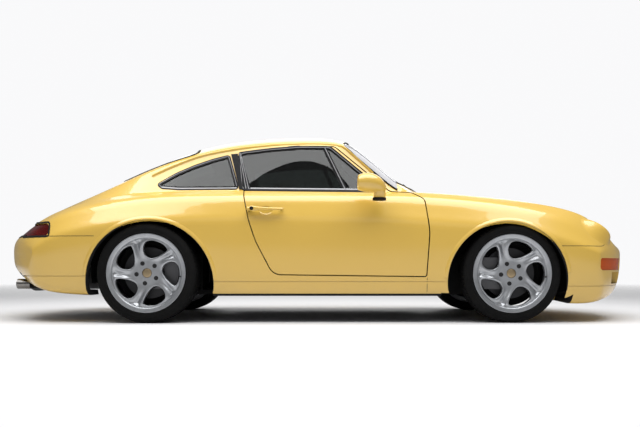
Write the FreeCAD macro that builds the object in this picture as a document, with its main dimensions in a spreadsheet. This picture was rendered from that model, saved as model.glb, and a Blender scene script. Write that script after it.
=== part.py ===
import FreeCAD, Part
import Sketcher
import math
import os

# A two-door coupe car with its engine behind the rear axle, built as separate pieces.
# Millimetres. +X is forward, +Y is the car's left and +Z is up.
# The origin is on the ground, midway between the car's ends.

doc = FreeCAD.newDocument("coupe_car")
sheet = doc.addObject("Spreadsheet::Sheet", "Sizes")

SIZES = [
    # Main lengths of the car
    ("wheelbase", 2272), ("front_overhang", 905), ("rear_overhang", 1068),
    ("half_width", 867), ("roof_height", 1250),
    # Walls, measured in from the painted skin
    ("side_wall", 55), ("belt_wall", 30), ("rail_wall", 34), ("roof_wall", 28), ("floor_wall", 30),
    ("end_wall", 40), ("skin_step", 4), ("glass_thick", 5), ("lamp_depth", 60),
    # Gaps between panels, and the small clearance where one piece seats on another
    ("panel_gap", 5), ("door_gap", 7), ("seat_gap", 0.3), ("overrun", 60),
    # Sills, arches and wheel wells
    ("bottom_line", 182), ("pan_half", 712), ("pan_top", 230),
    ("shadow_line", 255), ("shadow_height", 4), ("shadow_deep", 3),
    ("front_shadow_line", 227), ("rear_shadow_line", 290),
    ("front_arch_radius", 372), ("front_arch_rise", -52), ("front_arch_shift", -27),
    ("rear_arch_radius", 397), ("rear_arch_rise", -70), ("rear_arch_shift", 13),
    ("well_wall", 8), ("front_well_radius", 420), ("rear_well_radius", 397),
    ("lip_place", 788), ("well_inner_place", 430),
    # Wheels
    ("front_track", 1405), ("rear_track", 1444),
    ("front_tyre_radius", 308.5), ("rear_tyre_radius", 311),
    ("front_tyre_width", 225), ("rear_tyre_width", 265), ("tyre_shoulder", 26),
    ("rim_radius", 246), ("rim_flange", 9), ("rim_wall", 7), ("front_rim_width", 218),
    ("rear_rim_width", 258), ("rim_lip", 12), ("rim_step", 14), ("spoke_dish", 32), ("spoke_edge", 26),
    ("hub_radius", 88), ("front_offset", 52), ("rear_offset", 65),
    # One opening between two spokes: each corner's place out from the hub, and its rise.
    # The outline leans round the hub, which gives the spokes their twist.
    ("window_a_out", 95), ("window_a_rise", 12), ("window_b_out", 100), ("window_b_rise", 40),
    ("window_c_out", 126), ("window_c_rise", 61), ("window_d_out", 160), ("window_d_rise", 68),
    ("window_e_out", 189), ("window_e_rise", 57), ("window_f_out", 204), ("window_f_rise", 10),
    ("window_g_out", 196), ("window_g_rise", -42), ("window_h_out", 175), ("window_h_rise", -76),
    ("window_i_out", 141), ("window_i_rise", -55), ("window_j_out", 112), ("window_j_rise", -22),
    ("bolt_circle_radius", 65), ("bolt_hole_radius", 12),
    ("window_reach", 205),
    ("headlamp_place", 575), ("headlamp_radius", 98), ("headlamp_lean", 38),
    ("hinge_setback", 45), ("wing_lip", 6), ("hinge_inset", 28), ("reflector_width", 720),
    ("slat_depth", 14),
    ("flange_thick", 8), ("flange_reach", 25), ("flange_lap", 14),
    ("bulkhead_thick", 14), ("bulkhead_place", 575), ("rear_bulkhead_place", -780),
    ("bulkhead_foot", 325), ("bulkhead_top", 826), ("front_tub_end", 1300), ("front_tub_low", 190),
    ("rear_tub_end", -1430), ("rear_tub_low", 226),
    ("shelf_height", 800), ("shelf_end", -1300), ("rail_width", 30), ("rail_low", 360),
    ("rail_high", 440), ("rail_end", -1880),
    ("disc_radius", 161), ("disc_thick", 28), ("disc_hat_radius", 82), ("disc_hat_depth", 46),
    ("stub_radius", 30), ("stub_length", 74), ("shaft_radius", 14), ("disc_clearance", 5),
    ("caliper_thick", 76), ("caliper_top_radius", 188), ("caliper_root_radius", 100),
    ("hub_ring_radius", 56), ("kingpin_inset", 70), ("ball_height", 208), ("ball_radius", 22),
    ("strut_radius", 24), ("strut_place", 545), ("strut_top", 596),
    ("arm_thick", 20), ("arm_root_half", 110), ("arm_tip_half", 24),
    # Engine and exhaust
    ("engine_front", -1340), ("engine_rear", -1800), ("engine_low", 200), ("engine_high", 500),
    ("gearbox_half", 170), ("gearbox_low", 230), ("gearbox_high", 420),
    ("muffler_depth", 110), ("muffler_half", 465), ("muffler_low", 190), ("muffler_high", 330),
    ("tip_place", 440), ("tip_half_width", 46), ("tip_half_height", 34), ("tip_wall", 3),
    ("tip_clearance", 12), ("tip_length", 88), ("tip_height", 235),
    # Cabin
    ("seat_place", 350), ("seat_width", 480), ("seat_round", 40), ("runner_width", 36),
    ("rear_seat_width", 330), ("rear_seat_place", 245),
    ("wheel_ring_radius", 188), ("wheel_grip_radius", 14), ("wheel_boss_radius", 62),
    ("wheel_boss_thick", 44), ("wheel_spoke_width", 34), ("column_radius", 30), ("column_length", 140),
    ("wheel_lean", 24), ("wheel_rest_x", 235), ("wheel_rest_z", 735),
    # Mirrors, handles and wipers
    ("mirror_place", 905), ("mirror_half_width", 82), ("mirror_half_height", 62),
    ("mirror_length", 165), ("mirror_height", 858), ("mirror_rear", 258),
    ("foot_half_length", 34),
    ("handle_height", 710), ("handle_front", -206), ("handle_rear", -424), ("handle_radius", 13),
    ("handle_tip_radius", 6), ("handle_stand", 24), ("handle_dish_place", -317),
    ("handle_dish_half_length", 47), ("handle_dish_half_height", 38), ("handle_dish_depth", 14),
    ("wiper_width", 14), ("wiper_rise", 10),
]
for row, (alias, amount) in enumerate(SIZES, 1):
    sheet.set("A%d" % row, alias)
    sheet.set("B%d" % row, str(amount))
    sheet.setAlias("B%d" % row, alias)
doc.recompute()


class Sizes:
    """Reads a named size from the sheet, in millimetres."""

    def __getattr__(self, name):
        return float(sheet.get(name))


S = Sizes()

# Places along the car follow from the wheelbase and the two overhangs
CAR_LENGTH = S.front_overhang + S.wheelbase + S.rear_overhang
REAR_AXLE = S.rear_overhang - CAR_LENGTH / 2
FRONT_AXLE = REAR_AXLE + S.wheelbase


def along(share):
    """-1 to 0 spans the rear overhang, 0 to 1 the wheelbase and 1 to 2 the front overhang."""
    if share < 0:
        return REAR_AXLE + share * S.rear_overhang
    if share <= 1:
        return REAR_AXLE + share * S.wheelbase
    return FRONT_AXLE + (share - 1) * S.front_overhang


def up(share):
    return share * S.roof_height


def across(share):
    return share * S.half_width


# The painted skin is one smooth surface over sections of the body, from the tail to the nose.
# Each section gives its place along the car, how far it bows out at the centre (a share of the
# wheelbase), how full that bow is, and then, as shares of the half width and the roof height:
# the centre's height, the roof's or lid's edge, the belt, the shoulder, the widest line and
# the tuck under the sill.
SECTION_SHARES = [
    (-1.0000, -.1485, 2.2, .352, .496, .352, .646, .352, .761, .352, .894, .352, .784, .352),
    (-1.0000, -.1485, 2.2, .384, .496, .384, .646, .384, .761, .380, .894, .352, .784, .304),
    (-.9883, -.1430, 2.2, .420, .496, .420, .646, .420, .773, .408, .900, .356, .796, .268),
    (-.8947, -.1100, 2.2, .472, .496, .472, .634, .472, .784, .448, .911, .368, .807, .200),
    (-.7917, -.0836, 2.2, .520, .507, .518, .646, .516, .796, .488, .928, .384, .830, .164),
    (-.6231, -.0528, 2.2, .596, .525, .590, .692, .578, .842, .544, .963, .424, .854, .142),
    (-.3048, -.0264, 2.2, .732, .554, .694, .727, .640, .894, .596, .992, .464, .877, .132),
    (-.0468, -.0220, 2.2, .852, .582, .796, .755, .660, .905, .628, 1.00, .480, .888, .132),
    (.1208, -.0132, 2.2, .948, .611, .876, .761, .670, .905, .632, .969, .488, .888, .132),
    (.2661, .0000, 2.2, .990, .625, .912, .767, .669, .900, .632, .946, .488, .888, .132),
    (.4201, .0000, 2.2, 1.004, .629, .926, .767, .667, .897, .632, .940, .488, .888, .132),
    (.5301, .0220, 2.2, .994, .623, .922, .767, .666, .894, .632, .940, .480, .888, .132),
    (.5874, .0396, 2.2, .948, .617, .908, .766, .665, .894, .632, .940, .480, .888, .132),
    (.6666, .0528, 2.2, .816, .681, .780, .764, .664, .888, .632, .940, .480, .888, .132),
    (.7634, .0836, 2.2, .692, .727, .668, .761, .662, .882, .630, .940, .480, .888, .132),
    (.7942, .0836, 2.2, .676, .692, .660, .761, .662, .879, .628, .940, .476, .888, .132),
    (.9175, .0572, 2.2, .646, .652, .630, .755, .648, .888, .612, .952, .456, .888, .132),
    (1.1215, .0484, 2.2, .610, .611, .592, .744, .624, .894, .584, .975, .448, .888, .132),
    (1.4337, .0572, 2.3, .558, .577, .534, .727, .592, .882, .532, .967, .400, .877, .096),
    (1.6657, .0792, 2.4, .508, .542, .480, .704, .552, .854, .468, .948, .368, .854, .090),
    (1.8425, .1100, 2.4, .424, .519, .424, .681, .472, .830, .416, .923, .352, .819, .104),
    (1.9641, .1408, 2.3, .388, .507, .388, .657, .396, .807, .380, .905, .344, .796, .148),
    (2.0000, .1507, 2.2, .368, .496, .368, .646, .368, .784, .364, .894, .344, .784, .264),
    (2.0000, .1507, 2.2, .344, .496, .344, .646, .344, .761, .344, .894, .344, .761, .344),
]
ROWS = 12
# How the control points between a section's own corners are spread, as shares of each span:
# over the roof, round its edge, down to the shoulder and the widest line, and under the sill
ROOF_SHARES = (.38, .75, .42)
RAIL_SHARES = (.08, .5, .94)
SHOULDER_SHARES = (.35, .5, .25)
TUCK_SHARES = ((0, .2), (.15, .45), (.35, .68), (.5, .85), (.6, .96))
FLOOR_SHARES = (.9, .75, .6, .4, .2, 0)
EASED_SECTIONS = 3


def between(a, b, share):
    return tuple(p + (q - p) * share for p, q in zip(a, b))


def section(shares, walls, ease):
    """The control points of one section, from the roof's centre down to the floor's centre.

    walls gives how far in the side, belt, rail, roof, floor and ends lie, and ease how much
    of that a section takes, which falls to nothing at the nose's and the tail's own line.
    """
    place, bow, fullness = shares[:3]
    side, belt_in, rail_in, roof_in, floor_in, end_in = walls
    bow = bow * S.wheelbase
    side_place = along(place) - bow
    heights = [up(share) for share in shares[3::2]]
    widths = [across(share) for share in shares[4::2]]
    centre, rail_z, belt_z, shoulder_z, wide_z, tuck_z = heights
    rail_y, belt_y, shoulder_y, wide_y, tuck_y = widths
    rail = (rail_y - rail_in, rail_z - roof_in * ease)
    belt = (belt_y - belt_in, belt_z - roof_in * ease)
    shoulder = (shoulder_y - side, shoulder_z - roof_in * ease)
    wide = (wide_y - side, wide_z)
    tuck = (tuck_y - side, tuck_z + floor_in * ease)
    top = centre - roof_in * ease
    flat, rounded, drop = ROOF_SHARES
    above, halfway, fuller = SHOULDER_SHARES
    upper = [(0, top), (rail[0] * flat, top), (rail[0] * rounded, top + (rail[1] - top) * drop), rail]
    upper += [between(rail, belt, share) for share in RAIL_SHARES] + [belt]
    upper += [between(belt, shoulder, above), shoulder, between(shoulder, wide, halfway),
              (wide[0], between(wide, shoulder, fuller)[1]), wide]
    fall = wide[1] - tuck[1]
    turn = wide[0] - tuck[0]
    lower = [(wide[0] - turn * in_share, wide[1] - fall * down_share)
             for in_share, down_share in TUCK_SHARES]
    lower += [tuck] + [(tuck[0] * share, tuck[1]) for share in FLOOR_SHARES]
    squeeze = 1 - 2 * end_in / CAR_LENGTH
    points = []
    for y, z in upper + lower:
        x = side_place + bow * (1 - abs(y / wide[0]) ** fullness)
        points.append(FreeCAD.Vector(x * squeeze, y, z))
    return points


def skin_net(walls):
    last = len(SECTION_SHARES) - 1
    net = []
    for index, shares in enumerate(SECTION_SHARES):
        ease = min(1, min(index, last - index) / EASED_SECTIONS)
        net.append(section(shares, walls, ease))
    for tip in (net[0], net[-1]):
        for row in range(1, ROWS + 1):
            tip[ROWS + row] = tip[ROWS - row]
    return net


def patch(poles):
    """A smooth cubic surface over a grid of control points."""
    surface = Part.BSplineSurface()
    knots = [list(range(count - 2)) for count in (len(poles), len(poles[0]))]
    mults = [[4] + [1] * (len(k) - 2) + [4] for k in knots]
    surface.buildFromPolesMultsKnots(poles, mults[0], mults[1], knots[0], knots[1],
                                     False, False, 3, 3)
    return surface.toShape()


def skin_solid(walls):
    net = skin_net(walls)
    faces = []
    for hand in (1, -1):
        handed = [[FreeCAD.Vector(p.x, hand * p.y, p.z) for p in row] for row in net]
        faces.append(patch([row[:ROWS + 1] for row in handed]))
        faces.append(patch([row[ROWS:] for row in handed]))
    shell = Part.makeShell(faces)
    shell.sewShape()
    solid = Part.makeSolid(shell)
    if solid.Volume < 0:
        solid.reverse()
    return solid


# Outlines are closed, with a rounding at each corner given as a share of the half width.
def rounded_wire(corners, plane):
    """corners are (first, second, rounding); plane maps a pair of lengths to a point."""
    count = len(corners)
    edges = []
    ends = []
    for index in range(count):
        before, here, after = (FreeCAD.Vector(*corners[(index + step) % count][:2], 0)
                               for step in (-1, 0, 1))
        rounding = corners[index][2]
        into, out = (here - before).normalize(), (after - here).normalize()
        turn = into.getAngle(out)
        reach = rounding * math.tan(turn / 2)
        if reach == 0:
            ends.append((here, None, here))
            continue
        bisector = (out - into).normalize()
        centre = here + bisector * (rounding / math.cos(turn / 2))
        ends.append((here - into * reach, centre - bisector * rounding, here + out * reach))
    for index in range(count):
        start, middle, end = (plane(p.x, p.y) if p else None for p in ends[index])
        if middle:
            edges.append(Part.Arc(start, middle, end).toShape())
        following = plane(ends[(index + 1) % count][0].x, ends[(index + 1) % count][0].y)
        if end.distanceToPoint(following) > S.seat_gap:
            edges.append(Part.LineSegment(end, following).toShape())
    return Part.Wire(edges)


def side_plane(x, z):
    return FreeCAD.Vector(x, 0, z)


def floor_plane(x, y):
    return FreeCAD.Vector(x, y, 0)


def side_corners(shares):
    return [(along(x), up(z), across(r)) for x, z, r in shares]


def plan_corners(shares):
    """An outline seen from above, given for the left half from the tail's side round."""
    half = [(along(x), across(y), across(r)) for x, y, r in shares]
    mirrored = [(x, -y, r) for x, y, r in reversed(half) if y > 0]
    return half + mirrored


def side_prism(corners, inner, outer, grow=0):
    """A solid with the outline as seen from the car's left, between two places across."""
    wire = rounded_wire(corners, side_plane)
    if grow:
        wire = wire.makeOffset2D(grow)
    face = Part.Face(wire)
    face.translate(FreeCAD.Vector(0, inner, 0))
    return face.extrude(FreeCAD.Vector(0, outer - inner, 0))


def plan_prism(corners, low, high, grow=0):
    wire = rounded_wire(corners, floor_plane)
    if grow:
        wire = wire.makeOffset2D(grow)
    face = Part.Face(wire)
    face.translate(FreeCAD.Vector(0, 0, low))
    return face.extrude(FreeCAD.Vector(0, 0, high - low))


def slab(x_range, y_range, z_range):
    low = FreeCAD.Vector(x_range[0], y_range[0], z_range[0])
    size = FreeCAD.Vector(x_range[1], y_range[1], z_range[1]) - low
    return Part.makeBox(size.x, size.y, size.z, low)


def mirrored(shape):
    return shape.mirror(FreeCAD.Vector(0, 0, 0), FreeCAD.Vector(0, 1, 0))


def handed(shape, side):
    """The shape as made for the left side, or its mirror image for the right."""
    return shape if side == "left" else mirrored(shape)


pieces = []


def add_piece(name, shape):
    piece = doc.addObject("Part::Feature", name)
    piece.Label = name
    piece.Shape = shape
    pieces.append(piece)
    return piece


# Shut lines and window outlines, as shares: (along, up, rounding) seen from the side and
# (along, across, rounding) from above
DOOR_SHARES = [
    (.237, .880, .02), (.315, .899, .20), (.417, .913, .20), (.515, .913, .06),
    (.606, .770, .30), (.671, .668, .05), (.730, .662, .05), (.764, .622, .05),
    (.775, .450, .40), (.767, .2275, .02), (.343, .2375, .10), (.2945, .408, .40),
    (.2755, .513, .40), (.260, .640, .40),
]
DOOR_GLASS_SHARES = [
    (.256, .682, .02), (.244, .866, .03), (.330, .886, .2), (.415, .899, .2),
    (.500, .898, .05), (.612, .720, .12), (.634, .674, .03),
]
QUARTER_GLASS_SHARES = [
    (.243, .678, .03), (.212, .862, .03), (.164, .839, .08), (.113, .807, .08),
    (.062, .766, .08), (.008, .706, .02), (.024, .684, .02), (.075, .676, .04),
]
WINDSCREEN_SHARES = [(.562, 0, 0), (.556, .30, .3), (.543, .560, .08), (.640, .630, .25),
                     (.688, .672, .06), (.742, .38, .5), (.768, 0, 0)]
REAR_WINDOW_SHARES = [(-.290, 0, 0), (-.270, .25, .4), (-.205, .50, .07), (-.02, .535, .3),
                      (.118, .565, .07), (.106, .25, .4), (.103, 0, 0)]
FRONT_LID_SHARES = [(.806, 0, 0), (.795, .28, .5), (.742, .600, .05), (1.00, .585, 1),
                    (1.50, .535, 1), (1.95, .440, .1), (2.10, .30, 0), (2.10, 0, 0)]
ENGINE_LID_SHARES = [(-1.10, 0, 0), (-1.10, .505, 0), (-.65, .505, .5), (-.262, .530, .06),
                     (-.33, .25, .4), (-.348, 0, 0)]
FRONT_WING_SHARES = [(.728, .62, 0), (.745, .575, 0), (1.00, .55, 0), (1.50, .50, 0),
                     (1.95, .40, 0), (2.20, .2, 0), (2.20, 1.20, 0), (.728, 1.20, 0)]
FRONT_BUMPER_SHARES = [(1.10, .383, 0), (1.660, .383, .1), (1.80, .448, .1), (2.3, .448, 0),
                       (2.3, -.1, 0), (1.10, -.1, 0)]
REAR_BUMPER_SHARES = [(-.10, .432, 0), (-1.3, .432, 0), (-1.3, -.1, 0), (-.10, -.1, 0)]
LAMP_BAND_SHARES = [(-.585, .436, .02), (-.600, .500, .04), (-1.3, .500, 0), (-1.3, .436, 0)]
INDICATOR_SHARES = [(1.617, .262, .03), (1.623, .324, .02), (2.3, .324, 0), (2.3, .262, 0)]
GRILLE_SHARES = [(-.40, 0, 0), (-.40, .40, .05), (-.60, .40, .05), (-.60, 0, 0)]

SCUTTLE_REAR_SHARE, SCUTTLE_FRONT_SHARE = .668, .80
SCUTTLE_HALF_SHARE, SCUTTLE_TOP_SHARE = .745, .665
SILL_TOP_SHARE = .30
SIDE_SHARE, BELT_FLOOR_SHARE = .4, .52
DOOR_HINGE_SHARES = (.775, .94)
INDICATOR_INNER_SHARE = .45
ENGINE_OPENING_SHARES = (-.85, -.05, .62, .25)
TIP_NOTCH_SHARE = -.6
MIDDLE_INTAKE_SHARE = .33
SIDE_INTAKE_SHARES = (.44, .72)
INTAKE_HEIGHT_SHARES = (.192, .252)
FRONT_LID_LOW_SHARE, ENGINE_LID_LOW_SHARE = .34, .512

NO_WALLS = (0, 0, 0, 0, 0, 0)
PANEL_WALLS = (S.side_wall, S.belt_wall, S.rail_wall, S.roof_wall, S.floor_wall, S.end_wall)
GLASS_TOP = (S.skin_step,) * 6
GLASS_BOTTOM = (S.skin_step + S.glass_thick,) * 6
LAMP_BACK = (S.lamp_depth,) + PANEL_WALLS[1:5] + (S.lamp_depth,)

outer = skin_solid(NO_WALLS)
inner = skin_solid(PANEL_WALLS)
shell = outer.cut(inner)
glass_layer = skin_solid(GLASS_TOP).cut(skin_solid(GLASS_BOTTOM))

OUT = S.half_width + S.overrun
WIDE = (-OUT, OUT)
TALL = S.roof_height + S.overrun
MID = across(SIDE_SHARE)
BELT_FLOOR = up(BELT_FLOOR_SHARE)


def arch_place(end):
    axle = FRONT_AXLE if end == "front" else REAR_AXLE
    shift = getattr(S, end + "_arch_shift")
    radius = getattr(S, end + "_tyre_radius")
    return axle + shift, radius + getattr(S, end + "_arch_rise")


def drums(end, radius, inner_place, outer_place):
    """A round space at one pair of wheels, between two places across, on both sides."""
    x, z = arch_place(end)
    return [Part.makeCylinder(radius, outer_place - inner_place,
                              FreeCAD.Vector(x, hand * inner_place, z), FreeCAD.Vector(0, hand, 0))
            for hand in (1, -1)]


def well(end, wall=0):
    """The arch in the skin, and the larger room behind it in which a wheel steers."""
    inner_place = S.well_inner_place - wall
    arch = drums(end, getattr(S, end + "_arch_radius") + wall, inner_place, OUT)
    behind = drums(end, getattr(S, end + "_well_radius") + wall, inner_place, S.lip_place + wall)
    return arch[0].multiFuse(arch[1:] + behind)


wells = well("front").fuse(well("rear"))

front_bumper_zone = side_prism(side_corners(FRONT_BUMPER_SHARES), -OUT, OUT)
rear_bumper_zone = side_prism(side_corners(REAR_BUMPER_SHARES), -OUT, OUT)
band_zone = side_prism(side_corners(LAMP_BAND_SHARES), -OUT, OUT)
indicator_zone = side_prism(side_corners(INDICATOR_SHARES), across(INDICATOR_INNER_SHARE), OUT)
front_lid_corners = plan_corners(FRONT_LID_SHARES)
engine_lid_corners = plan_corners(ENGINE_LID_SHARES)
windscreen_corners = plan_corners(WINDSCREEN_SHARES)
rear_window_corners = plan_corners(REAR_WINDOW_SHARES)
grille_corners = plan_corners(GRILLE_SHARES)
front_lid_zone = plan_prism(front_lid_corners, up(FRONT_LID_LOW_SHARE), TALL)
engine_lid_zone = plan_prism(engine_lid_corners, up(ENGINE_LID_LOW_SHARE), TALL)


# Panels: each lies inside its zone by the panel gap, and gives way to the zones it adjoins
def without(shape, *others):
    for other in others:
        shape = shape.cut(other)
    return shape


def biggest(shape, count=1):
    """The largest solids of a cut, which leaves out slivers along a shared edge."""
    solids = sorted(shape.Solids, key=lambda solid: -solid.Volume)[:count]
    return solids[0] if count == 1 else Part.makeCompound(solids)


def both(shape):
    return Part.makeCompound([shape, mirrored(shape)])


def headlamp_zone(radius):
    lean = math.radians(S.headlamp_lean)
    axis = FreeCAD.Vector(math.cos(lean), 0, math.sin(lean))
    reach = S.headlamp_radius * 4
    middle = FreeCAD.Vector(along(HEADLAMP_SHARES[0]), S.headlamp_place, up(HEADLAMP_SHARES[1]))
    return Part.makeCylinder(radius, reach, middle - axis * reach / 2, axis)


HEADLAMP_SHARES = (1.70, .50)

middle_intake = across(MIDDLE_INTAKE_SHARE)
side_intake = [across(share) for share in SIDE_INTAKE_SHARES]
INTAKE_SPANS = [(-middle_intake, middle_intake), (side_intake[0], side_intake[1]),
                (-side_intake[1], -side_intake[0])]
INTAKE_HEIGHTS = [up(share) for share in INTAKE_HEIGHT_SHARES]
left_half = slab((-CAR_LENGTH, CAR_LENGTH), (0, OUT), (-OUT, TALL))
# The door stops at the belt's edge beside the scuttle, which belongs to the body
SCUTTLE_REAR, SCUTTLE_FRONT = along(SCUTTLE_REAR_SHARE), along(SCUTTLE_FRONT_SHARE)
SCUTTLE_HALF, SCUTTLE_TOP = across(SCUTTLE_HALF_SHARE), up(SCUTTLE_TOP_SHARE)
scuttle = slab((SCUTTLE_REAR, SCUTTLE_FRONT), (0, SCUTTLE_HALF), (0, SCUTTLE_TOP))
door_zone = side_prism(side_corners(DOOR_SHARES), MID, OUT).cut(scuttle)
door_zones = both(door_zone)
wing_corners = [(along(x), across(y), across(r)) for x, y, r in FRONT_WING_SHARES]
DOOR_FOOT = along(DOOR_SHARES[9][0])
SILL_TOP = up(SILL_TOP_SHARE)
sill_below_door = slab((0, DOOR_FOOT), (0, OUT), (0, SILL_TOP))
wing_zone = plan_prism(wing_corners, 0, TALL).cut(sill_below_door)
quarter_hole = side_prism(side_corners(QUARTER_GLASS_SHARES), MID, OUT)
door_hole = side_prism(side_corners(DOOR_GLASS_SHARES), MID, OUT)
windscreen_hole = plan_prism(windscreen_corners, BELT_FLOOR, TALL)
rear_window_hole = plan_prism(rear_window_corners, BELT_FLOOR, TALL)
grille_hole = plan_prism(grille_corners, BELT_FLOOR, TALL)


def floor_room(gap):
    """What belongs to the floor pan: all below the sills, and the sheet between them."""
    whole = (-CAR_LENGTH, CAR_LENGTH)
    between_sills = (gap - S.pan_half, S.pan_half - gap)
    return slab(whole, WIDE, (-OUT, S.bottom_line - gap)).fuse(
        slab(whole, between_sills, (-OUT, S.pan_top)))


body = shell.cut(floor_room(0))
body = without(body, door_zones, both(wing_zone), front_lid_zone, engine_lid_zone,
               front_bumper_zone, rear_bumper_zone, band_zone, wells, both(quarter_hole),
               windscreen_hole, rear_window_hole)

# Each door swings about an upright pin inside its skin, and the wing ahead makes room for it
HINGE = FreeCAD.Vector(along(DOOR_HINGE_SHARES[0]) - S.hinge_setback,
                       across(DOOR_HINGE_SHARES[1]) - S.hinge_inset, 0)
hinge_room = Part.makeCylinder(math.hypot(S.hinge_setback, S.hinge_inset) + S.panel_gap, TALL, HINGE)
hinge_room = hinge_room.common(skin_solid((S.wing_lip,) * 6))
wing = shell.common(plan_prism(wing_corners, S.bottom_line, TALL, -S.seat_gap))
wing = wing.cut(slab((0, DOOR_FOOT + S.seat_gap), (0, OUT), (0, SILL_TOP)))
wing = without(wing, floor_room(0), door_zone, front_lid_zone, front_bumper_zone, wells, hinge_room,
               headlamp_zone(S.headlamp_radius))
wing = biggest(wing)

# A fine groove runs along the sills, and another round each bumper
groove_layer = outer.cut(skin_solid((S.shadow_deep,) * 6))


def shadow_line(shape, height):
    return shape.cut(groove_layer.common(slab((-CAR_LENGTH, CAR_LENGTH), WIDE,
                                              (height, height + S.shadow_height))))


wing = biggest(shadow_line(wing, S.shadow_line))

# A rain channel runs under the edge of each lid, and a seal flange inside each door's edge
flange_walls = tuple(wall + S.seat_gap for wall in PANEL_WALLS)
flange_backs = tuple(wall + S.flange_thick for wall in PANEL_WALLS)
flange_layer = inner.cut(skin_solid(flange_backs))
seat_layer = skin_solid(flange_walls).cut(skin_solid(flange_backs))


def ring(make_zone):
    """The layer inside a panel's edge, touching the walls beside it and clear of the panel."""
    under = seat_layer.common(make_zone(0)).cut(make_zone(-S.flange_reach))
    beside = flange_layer.common(make_zone(S.flange_lap)).cut(make_zone(0))
    return under.fuse(beside)


front_channel = ring(lambda grow: plan_prism(front_lid_corners, up(FRONT_LID_LOW_SHARE), TALL, grow))
engine_channel = ring(lambda grow: plan_prism(engine_lid_corners, up(ENGINE_LID_LOW_SHARE), TALL, grow))
door_flange = ring(lambda grow: side_prism(side_corners(DOOR_SHARES), MID, OUT, grow))
ahead_of_pin = slab((HINGE.x - S.hinge_setback, CAR_LENGTH), (0, OUT), (0, TALL))
door_flange = biggest(without(door_flange, ahead_of_pin, windscreen_hole, door_hole, wells, scuttle))
body = body.multiFuse([biggest(front_channel.cut(front_bumper_zone)), biggest(engine_channel),
                       door_flange, mirrored(door_flange)])
body = biggest(shadow_line(body, S.shadow_line))

door = shell.common(side_prism(side_corners(DOOR_SHARES), MID, OUT, -S.door_gap))
scuttle_gap = slab((SCUTTLE_REAR - S.door_gap, SCUTTLE_FRONT), (0, SCUTTLE_HALF + S.door_gap),
                   (0, SCUTTLE_TOP))
door = biggest(without(door, door_hole, scuttle_gap))

front_lid = shell.common(plan_prism(front_lid_corners, up(FRONT_LID_LOW_SHARE), TALL, -S.panel_gap))
front_lid = biggest(front_lid.cut(
    side_prism(side_corners(FRONT_BUMPER_SHARES), -OUT, OUT, S.panel_gap)))
engine_lid = shell.common(plan_prism(engine_lid_corners, up(ENGINE_LID_LOW_SHARE), TALL, -S.panel_gap))
engine_lid = biggest(engine_lid.cut(grille_hole))
front_bumper = shell.common(side_prism(side_corners(FRONT_BUMPER_SHARES), -OUT, OUT, -S.seat_gap))
intakes = [slab((FRONT_AXLE, CAR_LENGTH), span, INTAKE_HEIGHTS) for span in INTAKE_SPANS]
front_bumper = shadow_line(front_bumper, S.front_shadow_line)
front_bumper = biggest(without(front_bumper, wells, both(indicator_zone), *intakes))
rear_bumper = shell.common(side_prism(side_corners(REAR_BUMPER_SHARES), -OUT, OUT, -S.seat_gap))
opening_half = across(ENGINE_OPENING_SHARES[2])
engine_opening = slab((along(ENGINE_OPENING_SHARES[0]), along(ENGINE_OPENING_SHARES[1])),
                      (-opening_half, opening_half), (-OUT, up(ENGINE_OPENING_SHARES[3])))
tip_notch_half = S.tip_half_width + S.tip_clearance
tip_notch = slab((-CAR_LENGTH, along(TIP_NOTCH_SHARE)),
                 (-S.tip_place - tip_notch_half, -S.tip_place + tip_notch_half),
                 (0, S.tip_height + S.tip_half_height + S.tip_clearance))
rear_bumper = shadow_line(rear_bumper, S.rear_shadow_line)
rear_bumper = biggest(without(rear_bumper, wells, engine_opening, tip_notch))

# Each door carries a tapered pull handle on two feet, over a dished hollow for the fingers
DOOR_SIDE_SHARE = .928
handle_y = across(DOOR_SIDE_SHARE) + S.handle_stand
handle_end = FreeCAD.Vector(S.handle_rear, handle_y, S.handle_height)
grip = Part.makeCone(S.handle_radius, S.handle_tip_radius, S.handle_front - S.handle_rear,
                     handle_end, FreeCAD.Vector(1, 0, 0))
feet = [grip, Part.makeSphere(S.handle_radius, handle_end)]
foot_places = (S.handle_rear + S.handle_tip_radius, S.handle_front - S.handle_radius)
for foot_x, foot_radius in zip(foot_places, (S.handle_radius, S.handle_tip_radius)):
    feet.append(Part.makeCylinder(foot_radius, S.handle_stand * 2,
                                  FreeCAD.Vector(foot_x, handle_y - S.handle_stand * 2,
                                                 S.handle_height), FreeCAD.Vector(0, 1, 0)))
handle = feet[0].multiFuse(feet[1:])
dish = Part.makeSphere(S.handle_dish_half_length)
stretch = FreeCAD.Matrix()
stretch.A22 = S.handle_dish_depth / S.handle_dish_half_length
stretch.A33 = S.handle_dish_half_height / S.handle_dish_half_length
dish = dish.transformGeometry(stretch)
dish.translate(FreeCAD.Vector(S.handle_dish_place, handle_y - S.handle_stand, S.handle_height))
door = biggest(door.cut(dish).fuse(handle.cut(outer)))

add_piece("body_shell", body)
for side in ("left", "right"):
    add_piece("front_fender_" + side, handed(wing, side))
    add_piece("door_panel_" + side, handed(door, side))
add_piece("front_lid", front_lid)
add_piece("engine_lid", engine_lid)
add_piece("front_bumper", front_bumper)
add_piece("rear_bumper", rear_bumper)

# Glass lies a step below the skin, and fills its opening but for the seat gap
add_piece("windscreen", biggest(glass_layer.common(
    plan_prism(windscreen_corners, BELT_FLOOR, TALL, -S.seat_gap))))
add_piece("rear_window", biggest(glass_layer.common(
    plan_prism(rear_window_corners, BELT_FLOOR, TALL, -S.seat_gap))))
add_piece("quarter_windows", both(biggest(glass_layer.common(
    side_prism(side_corners(QUARTER_GLASS_SHARES), MID, OUT, -S.seat_gap)))))
door_glass = biggest(glass_layer.common(
    side_prism(side_corners(DOOR_GLASS_SHARES), MID, OUT, -S.seat_gap)))
for side in ("left", "right"):
    add_piece("door_glass_" + side, handed(door_glass, side))

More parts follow.
